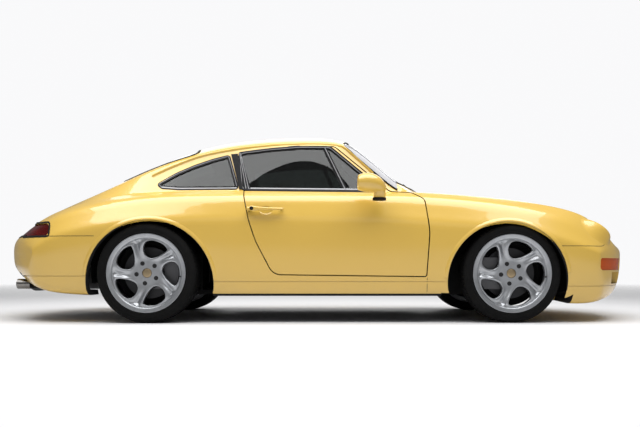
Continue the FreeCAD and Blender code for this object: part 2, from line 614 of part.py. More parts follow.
# Lamps are thick lenses that follow the skin
lamp_layer = skin_solid(GLASS_TOP).cut(skin_solid(LAMP_BACK))
headlamp = biggest(outer.cut(skin_solid(LAMP_BACK)).common(
    headlamp_zone(S.headlamp_radius - S.seat_gap)).common(wing_zone).cut(
    side_prism(side_corners(FRONT_BUMPER_SHARES), -OUT, OUT, S.seat_gap)))
add_piece("headlamps", both(headlamp))
band = lamp_layer.common(side_prism(side_corners(LAMP_BAND_SHARES), -OUT, OUT, -S.seat_gap))
reflector_half = S.reflector_width / 2
lamp_split = slab((-CAR_LENGTH, CAR_LENGTH), (-reflector_half, reflector_half), (0, TALL))
gap_split = slab((-CAR_LENGTH, CAR_LENGTH), (-reflector_half - S.seat_gap,
                                             reflector_half + S.seat_gap), (0, TALL))
lamps = [biggest(band.cut(gap_split).common(left_half))]
lamps += [mirrored(lamps[0]), biggest(band.common(lamp_split))]
add_piece("tail_lamps", Part.makeCompound(lamps))
indicator = biggest(lamp_layer.common(left_half).common(
    side_prism(side_corners(INDICATOR_SHARES), across(INDICATOR_INNER_SHARE) + S.seat_gap, OUT,
               -S.seat_gap)))
add_piece("front_indicators", both(indicator))

# The engine lid's grille is a row of slats across its opening
slat_count = 9
SLAT_SHARE = .5
grille_low, grille_high = along(GRILLE_SHARES[2][0]), along(GRILLE_SHARES[0][0])
pitch = (grille_high - grille_low) / slat_count
grille_layer = outer.cut(skin_solid((S.slat_depth,) * 6))
grille_half = across(GRILLE_SHARES[1][1])
slats = [slab((grille_low + pitch * n, grille_low + pitch * (n + SLAT_SHARE)),
              (-grille_half, grille_half), (BELT_FLOOR, TALL)) for n in range(slat_count)]
for hand in (-1, 1):
    rib = hand * grille_half / 2
    slats.append(slab((grille_low, grille_high), (rib - S.slat_depth / 2, rib + S.slat_depth / 2),
                      (BELT_FLOOR, TALL)))
grille = grille_layer.common(plan_prism(grille_corners, BELT_FLOOR, TALL, -S.seat_gap))
add_piece("engine_grille", grille.common(slats[0].multiFuse(slats[1:])))


# Two wipers lie parked along the foot of the windscreen, just off the glass
wiper_layer = skin_solid((S.skin_step - S.wiper_rise,) * 6).cut(
    skin_solid((S.skin_step - S.seat_gap,) * 6))
WIPER_SHARES = [((.722, .455), (.742, .04)), ((.745, -.02), (.722, -.455))]
blades = []
for start, end in WIPER_SHARES:
    start = FreeCAD.Vector(along(start[0]), across(start[1]), 0)
    end = FreeCAD.Vector(along(end[0]), across(end[1]), 0)
    side_step = (end - start).normalize().cross(FreeCAD.Vector(0, 0, S.wiper_width / 2))
    corners = [start - side_step, end - side_step, end + side_step, start + side_step]
    strip = Part.Face(Part.makePolygon(corners + corners[:1])).extrude(FreeCAD.Vector(0, 0, TALL))
    blades.append(biggest(wiper_layer.common(strip).common(
        slab((0, CAR_LENGTH), WIDE, (BELT_FLOOR, TALL)))))
add_piece("wipers", Part.makeCompound(blades))


# The underbody is the floor pan with its bulkheads, rear shelf, rails and wheel tubs
pan = biggest(without(shell.common(floor_room(S.seat_gap)), front_bumper_zone, rear_bumper_zone,
                      wells, engine_opening))
# The walls that stand on the pan start inside its sheet, so that they join it whole
room = skin_solid(tuple(wall + S.flange_thick for wall in PANEL_WALLS[:4])
                  + (S.floor_wall / 2, S.end_wall))


def beside(reach, high):
    """Both sides outside the pan's width, up to a height, which belong to the sills."""
    return both(slab(reach, (S.pan_half - S.seat_gap, OUT), (-OUT, high)))


def upright(place, high):
    reach = (place, place + S.bulkhead_thick)
    return room.common(slab(reach, WIDE, (0, high))).cut(beside(reach, S.bulkhead_foot))


shelf = room.common(slab((S.shelf_end, S.rear_bulkhead_place + S.bulkhead_thick), WIDE,
                         (S.shelf_height - S.bulkhead_thick, S.shelf_height)))
RAIL_INNER = S.well_inner_place - S.rail_width
rails = [slab((S.rail_end, S.rear_bulkhead_place), span, (S.rail_low, S.rail_high))
         for span in ((RAIL_INNER, S.well_inner_place), (-S.well_inner_place, -RAIL_INNER))]


def tubs(end):
    """The wall round each wheel well, inside the body's side and above sills and bumpers."""
    grown = well(end, S.well_wall)
    return without(room.common(grown), wells, beside((-CAR_LENGTH, CAR_LENGTH), S.pan_top),
                   slab((S.front_tub_end, CAR_LENGTH), WIDE, (-OUT, S.front_tub_low)),
                   slab((-CAR_LENGTH, S.rear_tub_end), WIDE, (-OUT, S.rear_tub_low)))


shaft_hole = Part.makeCylinder(S.hub_ring_radius, OUT * 2,
                               FreeCAD.Vector(REAR_AXLE, -OUT, S.rear_tyre_radius),
                               FreeCAD.Vector(0, 1, 0))
under_pieces = [upright(S.bulkhead_place, S.bulkhead_top),
                upright(S.rear_bulkhead_place, S.shelf_height), shelf]
under_pieces += rails + [tubs("front"), tubs("rear").cut(shaft_hole)]
underbody = pan.multiFuse(under_pieces)
underbody = biggest(without(underbody, wells, engine_opening.common(slab(
    (-CAR_LENGTH, CAR_LENGTH), WIDE, (-OUT, S.rail_low)))))
add_piece("underbody", underbody)


# Drawings on a sheet: every corner is set by a sum of named sizes such as "rim_radius - rim_flange"
def amount(formula):
    total, sign = 0, 1
    for word in formula.split():
        if word in ("+", "-"):
            sign = 1 if word == "+" else -1
        elif word != "0":
            factor, _, name = word.rpartition("*")
            total += sign * (float(factor) if factor else 1) * getattr(S, name)
    return total


def formula_text(formula):
    words = []
    for word in formula.split():
        if word in ("+", "-", "0"):
            words.append(word)
        else:
            factor, _, name = word.rpartition("*")
            words.append((factor + " * " if factor else "") + "Sizes." + name)
    return " ".join(words)


def new_sketch(body, name, role):
    sketch = body.newObject("Sketcher::SketchObject", name)
    plane = next(part for part in body.Origin.OriginFeatures if part.Role == role)
    sketch.AttachmentSupport = (plane, [""])
    sketch.MapMode = "FlatFace"
    return sketch


def pin_point(sketch, line, end, formulas):
    for kind, formula in zip(("DistanceX", "DistanceY"), formulas):
        distance = amount(formula)
        index = sketch.addConstraint(Sketcher.Constraint(kind, -1, 1, line, end, distance))
        if formula != "0":
            sketch.setExpression("Constraints[%d]" % index, formula_text(formula))


def draw_outline(body, name, role, corners):
    sketch = new_sketch(body, name, role)
    points = [FreeCAD.Vector(amount(a), amount(b), 0) for a, b in corners]
    for index, point in enumerate(points):
        sketch.addGeometry(Part.LineSegment(point, points[(index + 1) % len(points)]))
    for index, formulas in enumerate(corners):
        sketch.addConstraint(Sketcher.Constraint("Coincident", index - 1 if index else
                                                 len(corners) - 1, 2, index, 1))
        pin_point(sketch, index, 1, formulas)
    return sketch


def draw_circle(body, name, role, centre, radius):
    sketch = new_sketch(body, name, role)
    spot = FreeCAD.Vector(amount(centre[0]), amount(centre[1]), 0)
    sketch.addGeometry(Part.Circle(spot, FreeCAD.Vector(0, 0, 1), amount(radius)))
    pin_point(sketch, 0, 3, centre)
    index = sketch.addConstraint(Sketcher.Constraint("Radius", 0, amount(radius)))
    sketch.setExpression("Constraints[%d]" % index, formula_text(radius))
    return sketch


def axle_axis(body):
    return next(part for part in body.Origin.OriginFeatures if part.Role == "Y_Axis")


def revolve(body, name, corners):
    turned = body.newObject("PartDesign::Revolution", name)
    turned.Profile = draw_outline(body, name + "_section", "XY_Plane", corners)
    turned.ReferenceAxis = (axle_axis(body), [""])
    turned.Angle = 360
    return turned


def cut_through(body, name, sketch, copies):
    pocket = body.newObject("PartDesign::Pocket", name)
    pocket.Profile = sketch
    pocket.Type = 1
    pocket.Midplane = True
    pattern = body.newObject("PartDesign::PolarPattern", name + "_ring")
    pattern.Originals = [pocket]
    pattern.Axis = (axle_axis(body), [""])
    pattern.Angle = 360
    pattern.Occurrences = copies
    body.Tip = pattern
    return pattern


SPOKES = 5
WINDOW_CORNERS = "abcdefghij"


def make_rim(name, end):
    half = "0.5*%s_rim_width" % end
    back = end + "_offset"
    rim = doc.addObject("PartDesign::Body", name)
    revolve(rim, name + "_turned", [
        ("0", half + " - spoke_dish"), ("hub_radius", half + " - spoke_dish"),
        ("window_reach", half + " - rim_step"),
        ("rim_radius - rim_flange - rim_wall", half + " - rim_step"),
        ("rim_radius - rim_flange", half), ("rim_radius", half),
        ("rim_radius", half + " - rim_lip"), ("rim_radius - rim_flange", half + " - rim_lip"),
        ("rim_radius - rim_flange", "0 - " + half + " + rim_lip"),
        ("rim_radius", "0 - " + half + " + rim_lip"),
        ("rim_radius", "0 - " + half), ("rim_radius - rim_flange - rim_wall", "0 - " + half),
        ("rim_radius - rim_flange - rim_wall", half + " - rim_step - spoke_edge"),
        ("window_reach", half + " - rim_step - spoke_edge"), ("hub_radius", back), ("0", back)])
    window = draw_outline(rim, name + "_window_drawing", "XZ_Plane", [
        ("0 - window_%s_out" % corner, "window_%s_rise" % corner) for corner in WINDOW_CORNERS])
    cut_through(rim, name + "_window", window, SPOKES)
    bolt = draw_circle(rim, name + "_bolt_drawing", "XZ_Plane", ("bolt_circle_radius", "0"),
                       "bolt_hole_radius")
    cut_through(rim, name + "_bolt", bolt, SPOKES)
    return rim


def make_tyre(name, end):
    half = "0.5*%s_tyre_width" % end
    bead = "0.5*%s_rim_width" % end
    radius = end + "_tyre_radius"
    seat = "rim_radius - rim_flange + seat_gap"
    tyre = doc.addObject("PartDesign::Body", name)
    revolve(tyre, name + "_turned", [
        (seat, bead + " - 2*rim_lip"), (radius + " - tyre_shoulder", half),
        (radius, half + " - tyre_shoulder"), (radius, "0 - " + half + " + tyre_shoulder"),
        (radius + " - tyre_shoulder", "0 - " + half), (seat, "0 - " + bead + " + 2*rim_lip")])
    return tyre


def make_disc(name, end):
    face = end + "_offset"
    plate = face + " - disc_hat_depth"
    tail = plate + " - disc_thick - stub_length"
    disc = doc.addObject("PartDesign::Body", name)
    corners = [("0", face), ("disc_hat_radius", face), ("disc_hat_radius", plate),
               ("disc_radius", plate), ("disc_radius", plate + " - disc_thick"),
               ("stub_radius", plate + " - disc_thick"), ("stub_radius", tail)]
    if end == "rear":
        reach = "gearbox_half + seat_gap - 0.5*rear_track"
        corners += [("shaft_radius", tail), ("shaft_radius", reach), ("0", reach)]
    else:
        corners += [("0", tail)]
    revolve(disc, name + "_turned", corners)
    return disc


def wheel_place(end, side):
    hand = 1 if side == "left" else -1
    axle = FRONT_AXLE if end == "front" else REAR_AXLE
    track = getattr(S, end + "_track")
    spot = FreeCAD.Vector(axle, hand * track / 2, getattr(S, end + "_tyre_radius"))
    # The left wheel is turned half round its axle, so both sides' bolts lie on the same lines
    axis = FreeCAD.Vector(0, 1, 0) if side == "left" else FreeCAD.Vector(0, 0, 1)
    turn = FreeCAD.Rotation(axis, 180)
    return FreeCAD.Placement(spot, turn)


for end in ("front", "rear"):
    for side in ("left", "right"):
        for maker, piece_name in ((make_rim, "rim"), (make_tyre, "tyre"), (make_disc, "disc")):
            piece = maker("%s_%s_%s" % (piece_name, end, side), end)
            piece.Placement = wheel_place(end, side)
            pieces.append(piece)


# Knuckles hold the front stubs in their rings, with the caliper over the disc's edge
def barrel(radius, low, high, x, z, axis=FreeCAD.Vector(0, 1, 0)):
    return Part.makeCylinder(radius, high - low, FreeCAD.Vector(x, low, z), axis)


def post(radius, x, y, low, high):
    return Part.makeCylinder(radius, high - low, FreeCAD.Vector(x, y, low))


def make_carrier(end, caliper_hand):
    """The left side's upright: its ring, ball foot and caliper."""
    axle = FRONT_AXLE if end == "front" else REAR_AXLE
    centre = getattr(S, end + "_tyre_radius")
    plane = getattr(S, end + "_track") / 2
    plate_out = plane + getattr(S, end + "_offset") - S.disc_hat_depth
    plate_in = plate_out - S.disc_thick
    ring_out = plate_in - S.disc_clearance
    ring_in = S.strut_place - S.strut_radius
    kingpin = plane - S.kingpin_inset
    ring_solid = barrel(S.hub_ring_radius, ring_in, ring_out, axle, centre)
    foot = post(S.ball_radius, axle, kingpin, S.ball_height + S.seat_gap, centre)
    middle = (plate_in + plate_out) / 2
    half = S.caliper_thick / 2
    band_out = barrel(S.caliper_top_radius, middle - half, middle + half, axle, centre)
    band_in = barrel(S.caliper_root_radius, middle - half, middle + half, axle, centre)
    wedge = slab(sorted((axle, axle + caliper_hand * OUT)), (0, OUT),
                 (centre - S.caliper_root_radius, centre + S.caliper_root_radius))
    caliper = band_out.cut(band_in).common(wedge)
    slot = barrel(S.disc_radius + S.disc_clearance, plate_in - S.disc_clearance,
                  plate_out + S.disc_clearance, axle, centre)
    bracket = slab(sorted((axle, axle + caliper_hand * (S.caliper_root_radius + S.ball_radius))),
                   (middle - half, ring_out), (centre - S.ball_radius, centre + S.ball_radius))
    bore = barrel(S.stub_radius + S.seat_gap, 0, OUT, axle, centre)
    solid = ring_solid.multiFuse([foot, caliper.cut(slot), bracket])
    return solid.cut(bore).cut(slot)


front_carrier = make_carrier("front", -1)
front_strut = post(S.strut_radius, FRONT_AXLE, S.strut_place, S.front_tyre_radius + S.stub_radius
                   + S.disc_clearance, S.strut_top)
front_knuckle = biggest(front_carrier.fuse(front_strut))
for side in ("left", "right"):
    add_piece("front_knuckle_" + side, handed(front_knuckle, side))
rear_carrier = biggest(make_carrier("rear", 1))
add_piece("rear_hub_carriers", both(rear_carrier))
rear_strut = post(S.strut_radius, REAR_AXLE, S.strut_place,
                  S.rear_tyre_radius + S.hub_ring_radius + S.seat_gap, S.strut_top)
add_piece("rear_struts", both(rear_strut))


def make_arm(end):
    axle = FRONT_AXLE if end == "front" else REAR_AXLE
    kingpin = getattr(S, end + "_track") / 2 - S.kingpin_inset
    root = S.well_inner_place + S.seat_gap
    corners = [(axle - S.arm_root_half, root, 0), (axle + S.arm_root_half, root, 0),
               (axle + S.arm_tip_half, kingpin + S.arm_tip_half, S.arm_tip_half / 2),
               (axle - S.arm_tip_half, kingpin + S.arm_tip_half, S.arm_tip_half / 2)]
    face = Part.Face(rounded_wire(corners, floor_plane))
    face.translate(FreeCAD.Vector(0, 0, S.ball_height - S.arm_thick))
    return face.extrude(FreeCAD.Vector(0, 0, S.arm_thick))


add_piece("suspension_arms", Part.makeCompound(
    [side for end in ("front", "rear") for side in both(make_arm(end)).Solids]))

# The engine is one plain block behind the rear axle, with its gearbox ahead of it
engine_half = RAIL_INNER - S.seat_gap
block = slab((S.engine_rear, S.engine_front), (-engine_half, engine_half), (S.engine_low, S.engine_high))
gearbox = slab((S.engine_front, S.rear_bulkhead_place - S.seat_gap), (-S.gearbox_half, S.gearbox_half),
               (S.gearbox_low, S.gearbox_high))
add_piece("engine_block", block.fuse(gearbox).removeSplitter())

muffler_rear = S.engine_rear - S.seat_gap - S.muffler_depth
muffler = slab((muffler_rear, S.engine_rear - S.seat_gap), (-S.muffler_half, S.muffler_half),
               (S.muffler_low, S.muffler_high))
muffler = muffler.makeFillet(S.seat_round, [edge for edge in muffler.Edges
                                            if abs(edge.tangentAt(edge.FirstParameter).y) > .9])


def tip_pipe(shrink):
    ellipse = Part.Ellipse(FreeCAD.Vector(0, 0, 0), S.tip_half_width - shrink,
                           S.tip_half_height - shrink)
    face = Part.Face(Part.Wire(ellipse.toShape()))
    face.rotate(FreeCAD.Vector(0, 0, 0), FreeCAD.Vector(1, 0, 0), 90)
    face.rotate(FreeCAD.Vector(0, 0, 0), FreeCAD.Vector(0, 0, 1), 90)
    face.translate(FreeCAD.Vector(muffler_rear + S.tip_wall, -S.tip_place, S.tip_height))
    return face.extrude(FreeCAD.Vector(-S.tip_length, 0, 0))


tip = tip_pipe(0).cut(tip_pipe(S.tip_wall).cut(muffler))
add_piece("exhaust", biggest(muffler.fuse(tip)))

# Seats are outlines seen from the side, as shares of the wheelbase and the roof's height
FRONT_SEAT_SHARES = [(.385, .20, .02), (.60, .21, .03), (.61, .32, .05), (.59, .345, .05),
                     (.43, .315, .05), (.385, .60, .04), (.375, .72, .04), (.335, .73, .04),
                     (.325, .60, .04), (.355, .30, .05)]
REAR_SEAT_SHARES = [(.150, .25, .02), (.285, .27, .03), (.285, .37, .04), (.185, .36, .04),
                    (.150, .56, .03), (.1254, .56, .03)]
DASH_SHARES = [(.665, .52, .02), (.615, .52, .03), (.600, .58, .04), (.625, .640, .04),
               (.69, .645, .03), (.71, .62, .02), (.71, .52, .02)]
RUNNER_SHARES = (.40, .58, .21)
DASH_HALF_SHARE = .80


def seat(shares, place, width):
    return side_prism(side_corners(shares), place - width / 2, place + width / 2)


def runners(place):
    """The two rails under a front seat, down to the floor."""
    floor = up(SECTION_SHARES[10][-1]) + S.floor_wall + S.seat_gap
    edges = (place - S.seat_width / 2, place + S.seat_width / 2 - S.runner_width)
    rear, front, top = RUNNER_SHARES
    return [slab((along(rear), along(front)), (edge, edge + S.runner_width), (floor, up(top)))
            for edge in edges]


front_seat = seat(FRONT_SEAT_SHARES, S.seat_place, S.seat_width).multiFuse(runners(S.seat_place))
add_piece("front_seats", both(biggest(front_seat)))
add_piece("rear_seats", both(seat(REAR_SEAT_SHARES, S.rear_seat_place, S.rear_seat_width)))

# The dashboard fills the cabin's width, and its column carries the steering wheel
lean = math.radians(S.wheel_lean)
column_axis = FreeCAD.Vector(-math.cos(lean), 0, math.sin(lean))
wheel_centre = FreeCAD.Vector(S.wheel_rest_x, S.seat_place, S.wheel_rest_z)
dash = skin_solid(flange_walls).cut(body).common(side_prism(side_corners(DASH_SHARES), -OUT, OUT)).cut(
    slab((-CAR_LENGTH, CAR_LENGTH), (across(DASH_HALF_SHARE), OUT), (0, TALL))).cut(
    slab((-CAR_LENGTH, CAR_LENGTH), (-OUT, -across(DASH_HALF_SHARE)), (0, TALL)))
column_start = wheel_centre - column_axis * (S.wheel_boss_thick + S.column_length)
column = Part.makeCylinder(S.column_radius, S.column_length, column_start, column_axis)
add_piece("dashboard", biggest(dash.fuse(column)))

ring_solid = Part.makeTorus(S.wheel_ring_radius, S.wheel_grip_radius)
boss = Part.makeCylinder(S.wheel_boss_radius, S.wheel_boss_thick,
                         FreeCAD.Vector(0, 0, S.seat_gap - S.wheel_boss_thick))
arms = [Part.makeBox(S.wheel_ring_radius, S.wheel_spoke_width, S.wheel_grip_radius,
                     FreeCAD.Vector(0, -S.wheel_spoke_width / 2, -S.wheel_grip_radius / 2))
        for turn in range(4)]
for turn, arm in enumerate(arms):
    arm.rotate(FreeCAD.Vector(0, 0, 0), FreeCAD.Vector(0, 0, 1), 45 + 90 * turn)
steering_wheel = ring_solid.multiFuse([boss] + arms)
wheel_piece = add_piece("steering_wheel", steering_wheel)
wheel_piece.Placement = FreeCAD.Placement(wheel_centre, FreeCAD.Rotation(FreeCAD.Vector(0, 0, 1),
                                                                         column_axis))

# Mirrors stand on the doors' shoulders
def oval(x, y, z, half_width, half_height):
    ellipse = Part.Ellipse(FreeCAD.Vector(0, 0, 0), half_width, half_height)
    wire = Part.Wire(ellipse.toShape())
    wire.rotate(FreeCAD.Vector(0, 0, 0), FreeCAD.Vector(1, 0, 0), 90)
    wire.rotate(FreeCAD.Vector(0, 0, 0), FreeCAD.Vector(0, 0, 1), 90)
    wire.translate(FreeCAD.Vector(x, y, z))
    return wire


MIRROR_SHARES = [(0, 1, 1), (.25, 1, 1), (.62, .86, .84), (.90, .55, .52), (1, .30, .26)]
shell_sections = [oval(S.mirror_rear + S.mirror_length * place, S.mirror_place, S.mirror_height,
                       S.mirror_half_width * width, S.mirror_half_height * height)
                  for place, width, height in MIRROR_SHARES]
mirror = Part.makeLoft(shell_sections, True)
FOOT_SHARE, FOOT_SIDE_SHARE, FOOT_LOW_SHARE, FOOT_TALL_SHARE = .60, .885, .612, 1.2
foot_place = FreeCAD.Vector(S.mirror_rear + S.mirror_length * FOOT_SHARE,
                            across(FOOT_SIDE_SHARE), up(FOOT_LOW_SHARE))
foot = Part.makeBox(S.foot_half_length * 2, S.mirror_place - foot_place.y,
                    S.mirror_half_height * FOOT_TALL_SHARE,
                    foot_place - FreeCAD.Vector(S.foot_half_length, 0, 0))
mirror = biggest(mirror.fuse(foot.cut(outer)))
for side in ("left", "right"):
    add_piece("mirror_" + side, handed(mirror, side))

doc.recompute()
for item in doc.Objects:
    if "Invalid" in item.State or "Error" in item.State:
        raise RuntimeError(item.Label + " did not build")
os.makedirs("parts", exist_ok=True)
for piece in pieces:
    shape = piece.Shape
    if shape.isNull() or not shape.isValid() or not shape.Solids:
        raise RuntimeError(piece.Label + " is not a valid solid")
    shape.exportStep(os.path.join("parts", piece.Label + ".step"))
    print("%-22s %d solids %8.2f litres" % (piece.Label, len(shape.Solids), shape.Volume / 1e6))
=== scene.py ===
# %% [markdown]
# # A coupe car, dressed around its construction model
# The construction model already holds every panel, wheel and hinge at its real size. This file
# gives those pieces their paint, glass, rubber and trim, and models what the plain solids leave
# out. Nothing here moves or resizes a construction piece, so the doors, lids and wheels still work.

# %% Load the frame
import math
import bmesh
import bpy
from mathutils import Matrix, Vector
from mathutils.bvhtree import BVHTree


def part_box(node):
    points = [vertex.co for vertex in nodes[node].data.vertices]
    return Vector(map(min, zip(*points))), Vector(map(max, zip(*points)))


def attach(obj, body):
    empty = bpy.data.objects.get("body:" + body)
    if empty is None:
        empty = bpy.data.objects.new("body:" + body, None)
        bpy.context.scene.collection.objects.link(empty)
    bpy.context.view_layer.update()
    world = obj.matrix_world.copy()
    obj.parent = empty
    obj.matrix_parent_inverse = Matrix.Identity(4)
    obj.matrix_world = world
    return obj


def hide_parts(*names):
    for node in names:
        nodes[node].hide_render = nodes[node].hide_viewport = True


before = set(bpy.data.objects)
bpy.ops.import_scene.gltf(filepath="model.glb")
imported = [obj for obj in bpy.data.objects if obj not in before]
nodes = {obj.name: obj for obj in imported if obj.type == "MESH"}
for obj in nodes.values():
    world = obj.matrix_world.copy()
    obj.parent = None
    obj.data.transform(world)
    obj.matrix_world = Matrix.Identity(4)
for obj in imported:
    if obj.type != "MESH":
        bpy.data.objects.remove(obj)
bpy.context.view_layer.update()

# %% [markdown]
# ## Writing shaders as sums
# A shader is a graph of nodes, but its maths reads best as ordinary expressions. One small class
# wraps a socket, so that `1 - mask * .5` adds the Math nodes that it names. Colours are mixed by a
# Mix node, because a Math node would turn them grey.

# %% A socket that can be added and multiplied
class Wire:
    """One output socket of a material's graph."""

    def __init__(self, finish, socket):
        self.finish = finish
        self.socket = socket

    def maths(self, operation, *others):
        return self.finish.add("ShaderNodeMath", {"operation": operation}, (self,) + others)

    def __add__(self, other):
        return self.maths("ADD", other)

    def __radd__(self, other):
        return self.maths("ADD", other)

    def __sub__(self, other):
        return self.maths("SUBTRACT", other)

    def __rsub__(self, other):
        return self.finish.add("ShaderNodeMath", {"operation": "SUBTRACT"}, (other, self))

    def __mul__(self, other):
        return self.maths("MULTIPLY", other)

    def __rmul__(self, other):
        return self.maths("MULTIPLY", other)

    def __truediv__(self, other):
        return self.maths("DIVIDE", other)

    def __gt__(self, other):
        return self.maths("GREATER_THAN", other)

    def __lt__(self, other):
        return self.maths("LESS_THAN", other)


class Finish:
    """A material being written: its graph, its shader and the short names for its inputs."""

    def __init__(self, name, colour, roughness, metallic=0, coat=0, alpha=1):
        self.material = bpy.data.materials.new(name)
        self.material.use_nodes = True
        self.tree = self.material.node_tree
        self.shader = self.tree.nodes["Principled BSDF"]
        self.set("Base Color", (*colour, 1))
        self.set("Roughness", roughness)
        self.set("Metallic", metallic)
        self.set("Coat Weight", coat)
        self.set("Alpha", alpha)

    def set(self, socket, value):
        target = self.shader.inputs[socket]
        if isinstance(value, Wire):
            self.tree.links.new(value.socket, target)
        else:
            target.default_value = value
        return self

    def add(self, kind, settings, values, output=0):
        node = self.tree.nodes.new(kind)
        for name, setting in settings.items():
            if name == "stops":
                ramp = node.color_ramp.elements
                for index, (place, shade) in enumerate(setting):
                    stop = ramp[index] if index < len(ramp) else ramp.new(place)
                    stop.position = place
                    stop.color = (*shade, 1)
            else:
                setattr(node, name, setting)
        pairs = values.items() if isinstance(values, dict) else enumerate(values)
        for key, value in pairs:
            if isinstance(value, Wire):
                self.tree.links.new(value.socket, node.inputs[key])
            else:
                node.inputs[key].default_value = value
        return Wire(self, node.outputs[output])

    def place(self):
        """Where a point of the surface lies in the car, in metres."""
        return self.add("ShaderNodeTexCoord", {}, {}, "Object")

    def noise(self, scale, detail=2, stretch=(1, 1, 1)):
        spot = self.add("ShaderNodeMapping", {}, {"Vector": self.place(), "Scale": stretch})
        return self.add("ShaderNodeTexNoise", {},
                        {"Vector": spot, "Scale": scale, "Detail": detail})

    def split(self, vector):
        """The three numbers of a vector, each on a wire of its own."""
        parts = self.add("ShaderNodeSeparateXYZ", {}, (vector,)).socket.node.outputs
        return [Wire(self, part) for part in parts]

    def mix(self, share, first, second):
        node = self.tree.nodes.new("ShaderNodeMix")
        node.data_type = "RGBA"
        for index, value in ((0, share), (6, first), (7, second)):
            if isinstance(value, Wire):
                self.tree.links.new(value.socket, node.inputs[index])
            else:
                node.inputs[index].default_value = value if index == 0 else (*value, 1)
        return Wire(self, node.outputs[2])

    def bump(self, height, depth, strength=1):
        normal = self.add("ShaderNodeBump", {}, {"Height": height, "Distance": depth,
                                                 "Strength": strength})
        return self.set("Normal", normal)


def dress(finish, *names):
    """Gives construction pieces their finish, which leaves their shape alone."""
    for name in names:
        slots = nodes[name].data.materials
        slots.clear()
        slots.append(finish.material)


# %% [markdown]
# ## Paint
# The car wears a warm pastel yellow under clear lacquer. The shader adds a faint orange-peel
# ripple in the lacquer, a painted shade that darkens and browns the paint in cloudy patches low on
# the body, and black where a panel's inner side shows. Which side is the inner one is read from the
# normal: on the outside it points away from the car's middle. All that lies within a wheel arch's
# own circle is black too, as the sprayed wells are.

# %% Body paint
YELLOW = (.66, .425, .072)
# a darker brown yellow, mixed in low on the body as painted shade
LOW_SHADE_BROWN = (.42, .31, .16)
TRIM_BLACK = (.012, .012, .013)
# heights where the painted shade low on the body begins and where it is full
LOW_SHADE_TOP, LOW_SHADE_FULL = .34, .12
BODY_MIDDLE, ARCH_FOOT = .45, .20
# place along the car, height and radius of each arch's circle
WHEEL_ARCHES = ((1.1905, .2565, .3745), (-1.0415, .241, .3995))


def body_paint(name, end_share):
    """end_share is how far the way along the car counts in telling a panel's inner side."""
    paint = Finish(name, YELLOW, .30, coat=.7)
    x, y, z = paint.split(paint.place())
    cloud = paint.noise(9, 4)
    # Low on the body the paint darkens and browns in cloudy patches and grows rougher: painted
    # shade
    low = paint.add("ShaderNodeMapRange", {}, {0: z, 1: LOW_SHADE_TOP, 2: LOW_SHADE_FULL, 3: 0, 4: 1})
    painted_low_shade = low * cloud * .35
    colour = paint.mix(painted_low_shade, YELLOW, LOW_SHADE_BROWN)
    roughness = .28 + cloud * .05 + painted_low_shade
    if end_share is not None:
        normal = paint.add("ShaderNodeNewGeometry", {}, {}, "True Normal")
        normal_x, normal_y, normal_z = paint.split(normal)
        facing = y * normal_y + (z - BODY_MIDDLE) * normal_z + x * normal_x * end_share
        inside = (facing < -.02) * (x > -1.5) if not end_share else facing < -.05
        for centre_x, centre_z, radius in WHEEL_ARCHES:
            along, above = x - centre_x, z - centre_z
            within = (along * along + above * above < radius * radius) * (z > ARCH_FOOT)
            inside = inside.maths("MAXIMUM", within)
        colour = paint.mix(inside, colour, TRIM_BLACK)
        roughness = roughness + inside * .5
        paint.set("Coat Weight", .7 - inside * .7)
    paint.set("Base Color", colour)
    paint.set("Roughness", roughness)
    paint.shader.inputs["Coat Roughness"].default_value = .04
    return paint.bump(paint.noise(420, 1), .00012, .35)


paint = body_paint("pastel_yellow_paint", None)
cabin_paint = body_paint("pastel_yellow_paint_trimmed", 0)
end_paint = body_paint("pastel_yellow_paint_of_ends", .8)
print("paint", paint.material.name)

# %% [markdown]
# ## Glass, rubber, metal and plastic
# Each of these is one shader with a texture at its real size: rubber has fine pores, cast metal a
# coarse grain, and the cast wheels a satin silver lacquer with metallic flake. Glass is tinted and
# passes light, so the dark cabin shows through it as it does in a studio.

# %% Finishes
def grained(name, colour, roughness, grain, depth, metallic=0, coat=0, spread=.08):
    finish = Finish(name, colour, roughness, metallic, coat)
    speck = finish.noise(grain, 3)
    cloud = finish.noise(grain / 40, 3)
    paler = tuple(min(1, c * 1.35 + .004) for c in colour)
    finish.set("Base Color", finish.mix(cloud, colour, paler))
    finish.set("Roughness", roughness - spread / 2 + speck * spread)
    return finish.bump(speck, depth, .5)


def clear(name, colour, roughness=0):
    finish = Finish(name, colour, roughness)
    finish.shader.inputs["Transmission Weight"].default_value = 1
    finish.shader.inputs["IOR"].default_value = 1.45
    haze = finish.noise(14, 3)
    return finish.set("Roughness", roughness + haze * .012)


def lens(name, colour, deep, pitch, depth, passes):
    """Moulded lamp plastic with fine level flutes; passes is how much light goes through."""
    finish = clear(name, colour, .05)
    finish.shader.inputs["Transmission Weight"].default_value = passes
    finish.shader.inputs["IOR"].default_value = 1.2
    height = finish.split(finish.place())[2]
    flutes = (height * pitch).maths("SINE") * .5 + .5
    finish.set("Base Color", finish.mix(flutes * .6, colour, deep))
    return finish.bump(flutes, depth, .6)


